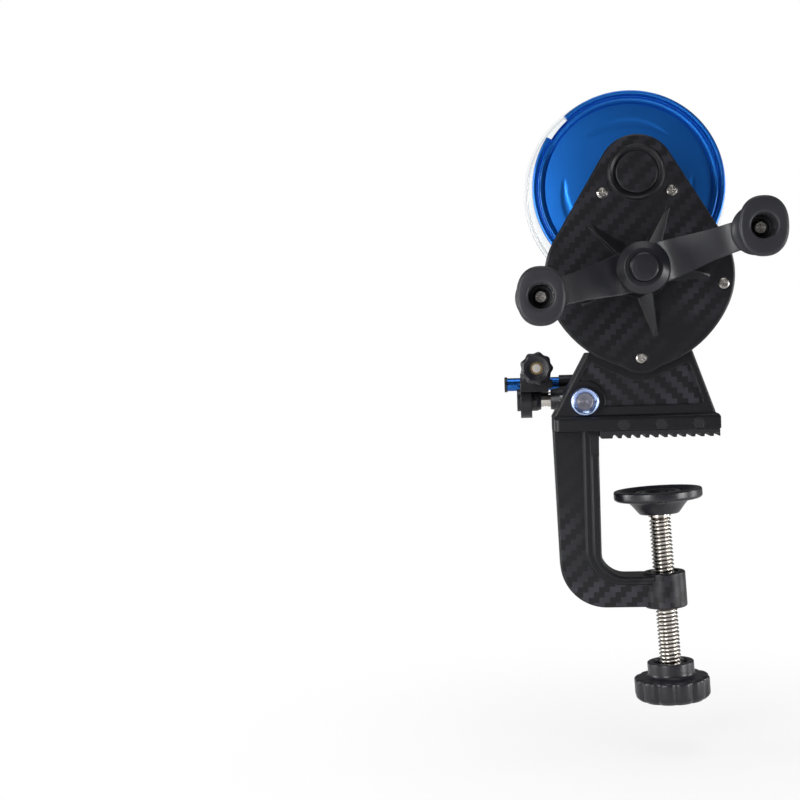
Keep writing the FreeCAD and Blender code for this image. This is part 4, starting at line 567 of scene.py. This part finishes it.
def lathe(profile, steps, along_y=False):
    """Spins an open profile of (radius, height) points, which starts and ends on the axis or meets itself."""
    bm = bmesh.new()
    verts = [bm.verts.new((p[0], p[1], 0) if along_y else (p[0], 0, p[1])) for p in profile]
    edges = [bm.edges.new(pair) for pair in zip(verts, verts[1:])]
    bmesh.ops.spin(bm, geom=verts + edges, cent=(0, 0, 0), axis=(0, 1, 0) if along_y else (0, 0, 1),
                   angle=2 * math.pi, steps=steps, use_merge=True)
    return tidy(bm)


# %% [markdown]
# The clamp screw is a 10 mm bar with a thread rolled into it: a ridge with a rounded crest that climbs 1.75 mm a
# turn.  A texture could draw the turns, but a thread shows most in its toothed outline, so the ridge is real.  It
# is a small section spun round a turned core, a little higher at each step.  The neck and the ball on top sit in
# the pad, and the whole screw leans with its joint.

# %% Clamp screw
SCREW_TOP, SCREW_LOW = -37.6, -119.0
THREAD_TOP, THREAD_LOW = -38.6, -110.4
NECK_R, BALL_R, BALL_Z = 2.8, 4.2, -31.2
CREST_ROUND, ROOT_SINK = 0.12, 0.2       # how much the crest is rounded and the ridge sunk into the core
TURN_STEPS = 32
lean = Vector((0, 0, 1)).rotation_difference(leaning).to_matrix().to_4x4()

root = SCREW_R - THREAD_DEPTH
ball_cut = BALL_R * 0.6
ball_heights = [BALL_R * math.sin(math.radians(a)) for a in range(-48, 37, 12)]
ball = [(math.sqrt(BALL_R ** 2 - h ** 2), BALL_Z + h) for h in ball_heights + [ball_cut]]
core = [(0, SCREW_LOW), (root, SCREW_LOW), (root, SCREW_TOP), (NECK_R, SCREW_TOP)] + ball
screw = lathe(core + [(0, BALL_Z + ball_cut)], 48)

half = SCREW_PITCH * 0.46
flank = [(root - ROOT_SINK, half), (root, half), (SCREW_R - CREST_ROUND, half * 0.28), (SCREW_R, half * 0.12)]
ridge = [(r, -h) for r, h in flank] + flank[::-1]
verts = [screw.verts.new((r, 0, THREAD_LOW + h)) for r, h in ridge]
edges = [screw.edges.new(pair) for pair in zip(verts, verts[1:] + verts[:1])]
screw.faces.new(verts)
turns = (THREAD_TOP - THREAD_LOW) / SCREW_PITCH
steps = round(turns * TURN_STEPS)
swept = bmesh.ops.spin(screw, geom=verts + edges, cent=(0, 0, 0), axis=(0, 0, 1),
                       dvec=(0, 0, (THREAD_TOP - THREAD_LOW) / steps), angle=2 * math.pi * turns, steps=steps)
screw.faces.new([e for e in swept["geom_last"] if isinstance(e, bmesh.types.BMVert)])
bmesh.ops.recalc_face_normals(screw, faces=screw.faces)
new_piece("threaded_screw", moved(screw, lean), root_shaded_plate, "screw", ["clamp_screw"], sharp=50)

# %% [markdown]
# The wound line is hundreds of turns of one thin thread.  A curve for each would be heavy and look no different,
# so the winding is one turned body whose outline has a low bump for each turn, some of them a little deeper and
# the outermost ones fallen in.  A hair of air keeps it off the clear flange: two faces in one place would show
# through the flange as a black ring.

# %% Wound line
LINE_STEP, CORE_R = 0.8, 22.0
HAIR = 0.1
SHOULDER = 1.2                           # how far below the fullest turn the winding's sides end
BUMP_ROUND, BUMP_WIDE, BUMP_TOP = 0.28, LINE_STEP * 0.42, LINE_STEP * 0.15
wound = middle("wound_line")
low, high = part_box("wound_line")
line_r = (high.x - low.x) / 2 / MM
front, back = low.y / MM + HAIR, high.y / MM - HAIR
turns = round((back - front) / LINE_STEP)
profile = [(CORE_R, front), (line_r - SHOULDER, front)]
for k in range(turns):
    at = front + (k + 0.5) * (back - front) / turns
    edge_drop = 1.0 if k in (0, turns - 1) else 0.35 if k in (1, turns - 2) else 0.0
    top = line_r - edge_drop - 0.12 * (k % 3 == 1)
    profile += [(top - BUMP_ROUND, at - BUMP_WIDE), (top, at - BUMP_TOP),
                (top, at + BUMP_TOP), (top - BUMP_ROUND, at + BUMP_WIDE)]
profile += [(line_r - SHOULDER, back), (CORE_R, back), (CORE_R, front)]
coil = lathe(profile, 120, along_y=True)
new_piece("line_winding", moved(coil, Matrix.Translation((wound.x, 0, wound.z))), line_nylon, "spool",
          ["wound_line"], sharp=60)

# %% [markdown]
# Moulded and pressed parts have no sharp corners, so the corners of a profile are rounded before it is turned.
# Each gets a short curve that starts and ends on its sides; a bevel afterwards would need to find the right
# edges again.  A part that isn't quite round can't be turned, so a second helper joins rings into a skin.

# %% Soft profiles and skins
CORNER_SHARE = 0.48                      # a rounded corner takes at most this share of the sides beside it


def soft_corners(points, steps=4):
    """Rounds a profile: a point (a, b, r) gets a curve that starts r before it, a point (a, b) stays sharp."""
    out = []
    for i, point in enumerate(points):
        here = Vector(point[:2])
        radius = point[2] if len(point) > 2 else 0.0
        if radius == 0.0 or i in (0, len(points) - 1):
            out.append(here)
            continue
        before, after = Vector(points[i - 1][:2]) - here, Vector(points[i + 1][:2]) - here
        start = here + before.normalized() * min(radius, before.length * CORNER_SHARE)
        end = here + after.normalized() * min(radius, after.length * CORNER_SHARE)
        for k in range(steps + 1):
            t = k / steps
            out.append(start * (1 - t) ** 2 + here * 2 * t * (1 - t) + end * t ** 2)
    return out


def skin(rings):
    """A closed skin over a closed row of rings, each a list of as many points."""
    bm = bmesh.new()
    rows = [[bm.verts.new(point) for point in ring] for ring in rings]
    for this, after in zip(rows, rows[1:] + rows[:1]):
        for k, vert in enumerate(this):
            nxt = (k + 1) % len(this)
            bm.faces.new((vert, this[nxt], after[nxt], after[k]))
    return tidy(bm)


print("a rounded corner has", len(soft_corners([(0, 0), (1, 0, 0.2), (1, 1)])) - 2, "points")

# %% [markdown]
# The spool's front flange is a slightly crowned web inside a stepped rim, drawn here as the profile of its side.
# The crown spreads the reflections: a perfectly flat web would mirror a single spot of the room.

# %% Profile of the blue flange
FLANGE_R, FLANGE_BORE = 45.9, 10.0
FLANGE_FRONT, FLANGE_WEB, FLANGE_BACK = 29.8, 33.0, 35.4
CROWN, WEB_STEPS = 1.2, 40
web_r = FLANGE_R - 6.2
web = [(FLANGE_BORE + (web_r - FLANGE_BORE) * k / WEB_STEPS, FLANGE_WEB - CROWN * (1 - (k / WEB_STEPS) ** 2))
       for k in range(1, WEB_STEPS + 1)]
rim = [(FLANGE_R - 5.2, FLANGE_FRONT + 1.5, 0.5), (FLANGE_R - 3.7, FLANGE_FRONT + 1.0, 0.4),
       (FLANGE_R - 3.1, FLANGE_FRONT + 1.9, 0.25), (FLANGE_R - 2.6, FLANGE_FRONT + 1.9, 0.25),
       (FLANGE_R - 1.9, FLANGE_FRONT + 0.2, 0.4), (FLANGE_R - 0.5, FLANGE_FRONT, 0.4),
       (FLANGE_R, FLANGE_FRONT + 0.7, 0.4), (FLANGE_R, FLANGE_BACK)]
flange_side = soft_corners([(FLANGE_BORE, FLANGE_BACK), (FLANGE_BORE, FLANGE_WEB - CROWN)] + web + rim, 3)
print("flange profile", len(flange_side), "points")

# %% [markdown]
# A notch through the rim holds the line's end, and three shallow crescents are pressed into the web.  A boolean
# cut would make the notch but spoil the shading round it.  So the flange is skinned from sections around its
# axis, with two sections close together at each end of the notch, and the crescents are pushed in as the sections
# are drawn.

# %% Blue flange
NOTCH_ENDS, NOTCH_R, NOTCH_EDGE = (130.5, 146.5), 43.3, 0.12
CRESCENTS, CRESCENT_R, CRESCENT_WIDE, CRESCENT_SPAN, CRESCENT_DEEP = (89, 209, 329), 30.6, 2.6, 39, 0.24
CRESCENT_STEEP = 1.6
flange_mid = middle("blue_flange")
angles = [float(a) for a in range(0, 360, 2)]
for end in NOTCH_ENDS:
    angles += [end - NOTCH_EDGE, end + NOTCH_EDGE]


def pressed(r, angle):
    """How deep the crescents are pressed into the web at a place."""
    for centre in CRESCENTS:
        along = (angle - centre + 180) % 360 - 180
        if abs(along) < CRESCENT_SPAN:
            wide = CRESCENT_WIDE * (1 - (along / CRESCENT_SPAN) ** 2)
            inside = 1 - abs(r - CRESCENT_R) / max(wide, 0.01)
            inside = max(0.0, min(1.0, inside * CRESCENT_STEEP))
            return CRESCENT_DEEP * inside ** 2 * (3 - 2 * inside)
    return 0.0


sections = []
for angle in sorted(angles):
    around = math.radians(angle)
    section = []
    for r, y in flange_side:
        if NOTCH_ENDS[0] < angle < NOTCH_ENDS[1]:
            r = min(r, NOTCH_R)
        y += pressed(r, angle) if y < FLANGE_BACK - 0.5 and r < web_r else 0.0
        section.append((flange_mid.x + r * math.cos(around), y, flange_mid.z + r * math.sin(around)))
    sections.append(section)
new_piece("notched_flange", skin(sections), blue_lacquer, "spool", ["blue_flange"], sharp=30)

# %% [markdown]
# The rear flange is clear, so its shape shows only where light bends in it: the small steps of its rim draw thin
# grey rings round the blue flange.  It is turned from one profile that holds these steps on both faces.  A bump
# texture would leave its thickness as it is, and the light would bend less than in the real steps.

# %% Clear flange
clear_mid = middle("clear_flange")
CLEAR_R, CLEAR_FRONT, CLEAR_BACK = 50.0, 61.1, 63.5
side = soft_corners([(FLANGE_BORE, CLEAR_FRONT), (CLEAR_R - 4.2, CLEAR_FRONT),
                     (CLEAR_R - 3.6, CLEAR_FRONT - 0.7, 0.3), (CLEAR_R - 2.9, CLEAR_FRONT - 0.8, 0.3),
                     (CLEAR_R - 2.4, CLEAR_FRONT - 0.1, 0.2), (CLEAR_R - 1.6, CLEAR_FRONT - 0.1, 0.2),
                     (CLEAR_R - 1.1, CLEAR_FRONT - 1.2, 0.3), (CLEAR_R, CLEAR_FRONT - 1.2, 0.3),
                     (CLEAR_R, CLEAR_BACK, 0.3), (CLEAR_R - 1.2, CLEAR_BACK, 0.2),
                     (CLEAR_R - 1.6, CLEAR_BACK - 0.5, 0.2), (CLEAR_R - 2.1, CLEAR_BACK, 0.2),
                     (FLANGE_BORE, CLEAR_BACK), (FLANGE_BORE, CLEAR_FRONT)])
disc = lathe(side, 144, along_y=True)
new_piece("stepped_clear_flange", moved(disc, Matrix.Translation((clear_mid.x, 0, clear_mid.z))), clear_styrene,
          "spool", ["clear_flange"], sharp=30)

# %% [markdown]
# The two grips: a round foot and waist that swell into an oval face with a soft lip and a deep bowl.  Turning
# can't make the oval, and a subdivided box would only come near it, so the grip is skinned from rings.  Each ring
# is a rounded oval whose power sets how square its sides are; 2 is a plain ellipse.

# %% Grips
GRIP_STEPS = 80
GRIP_RINGS = [                           # place along Y, half width, half height and power
    (-58.4, 3.05, 3.05, 2.0), (-58.4, 10.0, 10.0, 2.0), (-58.55, 10.4, 10.4, 2.0), (-58.9, 10.6, 10.6, 2.0),
    (-61.6, 10.65, 10.65, 2.0), (-62.1, 10.5, 10.5, 2.0), (-62.6, 10.0, 10.0, 2.0), (-64.0, 9.0, 9.1, 2.0),
    (-66.2, 8.4, 8.5, 2.0), (-68.8, 8.3, 8.5, 2.0), (-71.0, 8.6, 9.2, 2.0), (-72.8, 9.1, 10.3, 2.1),
    (-74.3, 9.6, 11.3, 2.2), (-75.7, 9.88, 12.0, 2.3), (-77.0, 9.95, 12.3, 2.3), (-78.0, 9.9, 12.2, 2.3),
    (-78.55, 9.65, 11.9, 2.3), (-78.88, 9.2, 11.4, 2.3), (-79.0, 8.6, 10.7, 2.3), (-79.0, 6.5, 7.2, 2.1),
    (-78.95, 6.0, 6.1, 2.0), (-78.75, 5.5, 5.5, 2.0), (-78.3, 5.2, 5.2, 2.0), (-77.4, 5.05, 5.05, 2.0),
    (-67.0, 4.65, 4.65, 2.0), (-67.0, 3.05, 3.05, 2.0)]


def rounded_oval(y, wide, tall, power, at):
    """Points of one oval ring around a grip's axis, from its half width and half height."""
    points = []
    for k in range(GRIP_STEPS):
        across, up = math.cos(2 * math.pi * k / GRIP_STEPS), math.sin(2 * math.pi * k / GRIP_STEPS)
        points.append((at.x + wide * math.copysign(abs(across) ** (2 / power), across), y,
                       at.z + tall * math.copysign(abs(up) ** (2 / power), up)))
    return points


for side in ("left", "right"):
    at = middle(side + "_grip")
    rings = [rounded_oval(*ring, at) for ring in GRIP_RINGS]
    new_piece(side + "_hand_grip", skin(rings), grip_skin, side + "_knob", [side + "_grip"],
              sharp=40)


# %% [markdown]
# The cover, the crank arm and the toothed strip are mouldings whose CAD shapes are right apart from their sharp
# edges.  Modelling them again would only risk their fit, so the CAD mesh is copied and its edges are bevelled.
# Its triangles are first joined into whole faces, so that a bevel can run the full length of an edge.

# %% Soft-edged hard pieces
COPY_GAP = 1e-3
FLAT_ANGLE, SHARP_ANGLE = 0.5, 30        # degrees: flatter edges are dissolved, sharper ones are bevelled


def softened(node, width, segments=3):
    """A copy of a CAD node with its sharp edges rounded by width, in millimetres."""
    bm = bmesh.new()
    bm.from_mesh(frame["nodes"][node].data)
    bmesh.ops.scale(bm, vec=(1 / MM,) * 3, verts=bm.verts)
    bmesh.ops.remove_doubles(bm, verts=bm.verts, dist=COPY_GAP)
    bmesh.ops.dissolve_limit(bm, angle_limit=math.radians(FLAT_ANGLE), verts=bm.verts, edges=bm.edges)
    sharp = [e for e in bm.edges if len(e.link_faces) == 2 and e.calc_face_angle(0) > math.radians(SHARP_ANGLE)]
    bmesh.ops.bevel(bm, geom=sharp, offset=width, offset_type="OFFSET", segments=segments, profile=0.5,
                    affect="EDGES", clamp_overlap=True, material=-1)
    return bm


new_piece("cover_plate", softened("gearbox_cover", 0.5), cover_film, "frame", ["gearbox_cover"],
          flat=True)
new_piece("crank_moulding", softened("crank_arm", 1.0), crank_nylon, "crank", ["crank_arm"],
          flat=True)
new_piece("toothed_strip", softened("jaw_strip", 0.25, 2), jaw_rubber, "frame", ["jaw_strip"],
          flat=True)


# %% [markdown]
# The hand knob is a moulded wheel with twelve lobes below a turned collar.  It is first turned as a plain wheel
# with many steps.  Then the points between the lobes are pulled in towards the axis, the more the nearer they lie
# to the rim.  Extruding a lobed outline and bevelling it would pinch the edges in the valleys.

# %% Hand knob
KNOB_TOP, KNOB_BODY_TOP, KNOB_BOTTOM = -104.4, -111.0, -121.9
KNOB_R, COLLAR_R, COLLAR_BORE, COLLAR_DEEP = 17.3, 10.65, 8.0, 5.6
LOBES, LOBE_DEPTH = 12, 1.3
LOBES_START, LOBES_FULL = COLLAR_R + 1.2, KNOB_R - 1.4     # the radii between which the lobes grow


def lobed(bm, second, start, full, depth, valley):
    """Pulls the outer points of a turned body in towards its axis, by valley(angle) times depth.

    depth is a share of the radius, and second is the axis, 1 or 2, that spans the lobes' plane together with X.
    """
    for v in bm.verts:
        r = math.hypot(v.co.x, v.co[second])
        if r > start:
            share = min(1.0, (r - start) / (full - start))
            pull = 1 - depth * share * valley(math.atan2(v.co[second], v.co.x))
            v.co.x *= pull
            v.co[second] *= pull
    return bm


profile = soft_corners([(0, KNOB_BOTTOM), (KNOB_R - 2.4, KNOB_BOTTOM, 0.8), (KNOB_R, KNOB_BOTTOM + 2.0, 1.2),
                        (KNOB_R, KNOB_BODY_TOP - 1.1, 0.5), (KNOB_R - 1.0, KNOB_BODY_TOP - 0.2, 0.5),
                        (COLLAR_R + 1.0, KNOB_BODY_TOP, 0.5), (COLLAR_R, KNOB_BODY_TOP + 1.0, 0.6),
                        (COLLAR_R, KNOB_TOP, 0.6), (COLLAR_BORE, KNOB_TOP, 0.5),
                        (COLLAR_BORE - 0.3, KNOB_TOP - COLLAR_DEEP, 0.3), (0, KNOB_TOP - COLLAR_DEEP)])
knob = lobed(lathe(profile, LOBES * 20), 1, LOBES_START, LOBES_FULL, LOBE_DEPTH / KNOB_R,
             lambda angle: (1 - abs(math.sin(LOBES / 2 * angle))) ** 1.6)
new_piece("lobed_hand_knob", moved(knob, lean), knob_nylon, "screw", ["screw_knob"])

# %% [markdown]
# A short tube of anodised aluminium crosses the base and slides in it.  Its front end is turned to a rounded lip
# with a small bevel inside, and that bright ring is what the eye sees of it, so the lip is modelled in full.

# %% Cross tube
TUBE_X, TUBE_Z = -31.5, 17.1
TUBE_R, TUBE_BORE, TUBE_FRONT, TUBE_BACK = 6.3, 3.9, -22.0, 52.0
FRONT_LIP, TUBE_STEPS = 1.4, 64
tube_at = Matrix.Translation((TUBE_X, 0, TUBE_Z))
tube = lathe(soft_corners([(TUBE_BORE, TUBE_BACK), (TUBE_R, TUBE_BACK), (TUBE_R, TUBE_FRONT + 0.8, 0.1),
                           (TUBE_R - 0.35, TUBE_FRONT + 0.1, 0.4), (TUBE_R - 0.9, TUBE_FRONT, 0.3),
                           (TUBE_BORE + 0.5, TUBE_FRONT + 0.9, 0.3), (TUBE_BORE, TUBE_FRONT + FRONT_LIP, 0.3),
                           (TUBE_BORE, TUBE_BACK)]), TUBE_STEPS, along_y=True)
new_piece("turned_cross_tube", moved(tube, tube_at), pale_anodised, "tube", ["cross_tube"])

# %% [markdown]
# Two grey plugs close the tube: a dished one sunk into the front end, and one with a flat cap at the back.  Both
# are one CAD node, so the two turned bodies are joined through a spare mesh before they become one piece.

# %% Tube plugs
PLUG_DEEP, STOPPER_DEEP, CAP = 7, 6, 1.2
dish = lathe(soft_corners([(0, TUBE_FRONT + 3.4), (0.9, TUBE_FRONT + 3.3, 0.3),
                           (TUBE_BORE - 0.7, TUBE_FRONT + 1.5, 0.4), (TUBE_BORE, TUBE_FRONT + FRONT_LIP),
                           (TUBE_BORE, TUBE_FRONT + PLUG_DEEP), (0, TUBE_FRONT + PLUG_DEEP)]),
             TUBE_STEPS, along_y=True)
stopper = lathe(soft_corners([(0, TUBE_BACK - STOPPER_DEEP), (TUBE_BORE, TUBE_BACK - STOPPER_DEEP),
                              (TUBE_BORE, TUBE_BACK), (TUBE_R, TUBE_BACK), (TUBE_R, TUBE_BACK + CAP, 0.3),
                              (0, TUBE_BACK + CAP)]),
                TUBE_STEPS, along_y=True)
spare = bpy.data.meshes.new("spare")
stopper.to_mesh(spare)
stopper.free()
dish.from_mesh(spare)
bpy.data.meshes.remove(spare)
new_piece("dished_tube_plugs", moved(dish, tube_at), plug_plastic, "tube", ["tube_plugs"])

# %% [markdown]
# The pad swivels on the screw's ball.  It is a shallow cone that widens into a disc, whose dished face with a
# ring round its middle presses against the table from below.  All of it is round, so one profile makes the
# outside, the face and the socket for the ball.

# %% Clamp pad
PAD_TOP, PAD_LOW, PAD_BOTTOM = -24.8, -29.5, -36.0
PAD_R, DISH_DEEP = 20.2, 2.4
profile = soft_corners([(4.4, PAD_BOTTOM), (9.0, PAD_BOTTOM, 0.4), (9.5, PAD_BOTTOM + 0.6, 0.4),
                        (12.4, PAD_LOW - 2.2, 1.2), (14.0, PAD_LOW - 0.7, 0.8), (15.2, PAD_LOW, 0.5),
                        (19.0, PAD_LOW, 0.5), (PAD_R, PAD_LOW + 0.9, 0.6), (PAD_R, PAD_TOP - 0.5, 0.4),
                        (PAD_R - 0.5, PAD_TOP, 0.3), (PAD_R - 2.3, PAD_TOP, 0.4),
                        (PAD_R - 4.2, PAD_TOP - DISH_DEEP, 0.8), (11.0, PAD_TOP - DISH_DEEP, 0.4),
                        (10.2, PAD_TOP - 0.9, 0.3), (8.6, PAD_TOP - 0.9, 0.3),
                        (7.8, PAD_TOP - DISH_DEEP - 0.6, 0.4), (4.6, PAD_TOP - DISH_DEEP - 0.6, 0.3),
                        (4.6, BALL_Z + ball_cut + 0.3), (3.4, BALL_Z + ball_cut), (4.5, BALL_Z),
                        (3.7, BALL_Z - 3.0), (4.4, PAD_BOTTOM)])
new_piece("swivel_pad", moved(lathe(profile, 96), lean), knob_nylon, "pad", ["clamp_pad"])

# %% [markdown]
# The rod holder's clamp bolt has a smaller knob with nine lobes, which is made in the same way, but turned round
# Y.  Its valleys are as wide as its lobes, so a plain wave draws them.

# %% Lobed knob of the rod holder
BOLT_AT = Vector((-52.7, 0, 32.4))
BOLT_KNOB_R, BOLT_KNOB_FRONT, BOLT_KNOB_BACK, BOLT_KNOB_FOOT = 7.8, 4.0, 11.0, 12.65
BOLT_BORE = 2.95
BOLT_LOBES, BOLT_LOBE_DEPTH = 9, 0.75
BOLT_LOBES_START, BOLT_LOBES_FULL = 5.6, BOLT_KNOB_R - 1.0
profile = soft_corners([(BOLT_BORE, BOLT_KNOB_FOOT), (4.6, BOLT_KNOB_FOOT, 0.2), (5.2, BOLT_KNOB_BACK, 0.3),
                        (BOLT_KNOB_R - 0.7, BOLT_KNOB_BACK, 0.4), (BOLT_KNOB_R, BOLT_KNOB_BACK - 0.7, 0.4),
                        (BOLT_KNOB_R, BOLT_KNOB_FRONT + 1.0, 0.5), (BOLT_KNOB_R - 1.0, BOLT_KNOB_FRONT, 0.5),
                        (5.3, BOLT_KNOB_FRONT, 0.2), (5.1, BOLT_KNOB_FRONT + 0.3, 0.1),
                        (4.3, BOLT_KNOB_FRONT + 0.3, 0.1), (3.9, BOLT_KNOB_FRONT + 0.9, 0.1),
                        (BOLT_BORE, BOLT_KNOB_FRONT + 0.9), (BOLT_BORE, BOLT_KNOB_FOOT)])
bolt_knob = lobed(lathe(profile, BOLT_LOBES * 16, along_y=True), 2, BOLT_LOBES_START, BOLT_LOBES_FULL,
                  BOLT_LOBE_DEPTH / BOLT_KNOB_R, lambda angle: 0.5 - 0.5 * math.cos(BOLT_LOBES * angle))
new_piece("lobed_bolt_knob", moved(bolt_knob, Matrix.Translation(BOLT_AT)), knob_nylon, "clamp_knob",
          ["lobed_knob"])

# %% [markdown]
# Every CAD node takes one of these finishes, also the ones whose place a new piece has taken, so that none is
# left in plain grey.  The nodes that stay keep their CAD meshes and only change their material.

# %% Finishes of the CAD nodes
FINISHES = {
    frame_film: ["main_frame"],
    cover_film: ["gearbox_cover", "badge_disc"],
    frame_nylon: ["gearbox_housing", "arm_bracket", "holder_block", "holder_ring", "stay_cap", "retaining_cone",
                  "lock_nut", "drive_disc"],
    jaw_rubber: ["jaw_strip", "jaw_plugs"],
    crank_nylon: ["crank_arm", "crank_cap"],
    grip_skin: ["left_grip", "right_grip"],
    knob_nylon: ["screw_knob", "clamp_pad", "lobed_knob", "rod_sleeve"],
    gear_nylon: ["drive_gear", "pinion"],
    core_plastic: ["spool_core"],
    plug_plastic: ["tube_plugs"],
    bronze: ["crank_bushes", "spindle_bearings", "knob_nut"],
    head_plate: ["cover_screws", "housing_screws", "grip_screws", "clamp_bolt"],
    screw_plate: ["grip_bushes", "tube_set_screw", "pad_retainer", "crank_nut"],
    plated_steel: ["screw_insert", "clamp_screw", "crank_shaft", "spindle", "thrust_washer", "knob_washer",
                   "knob_pin", "crank_shaft_clip", "spindle_clip"],
    chrome: ["chrome_shaft"],
    pale_anodised: ["cross_tube"],
    blue_anodised: ["stay_tube"],
    blue_lacquer: ["blue_flange"],
    clear_styrene: ["clear_flange"],
    line_nylon: ["wound_line"],
}
for material, names in FINISHES.items():
    for name in names:
        mesh = frame["nodes"][name].data
        mesh.materials.clear()
        mesh.materials.append(material)
left_out = set(frame["nodes"]) - {name for names in FINISHES.values() for name in names}
print("nodes without a finish", sorted(left_out))
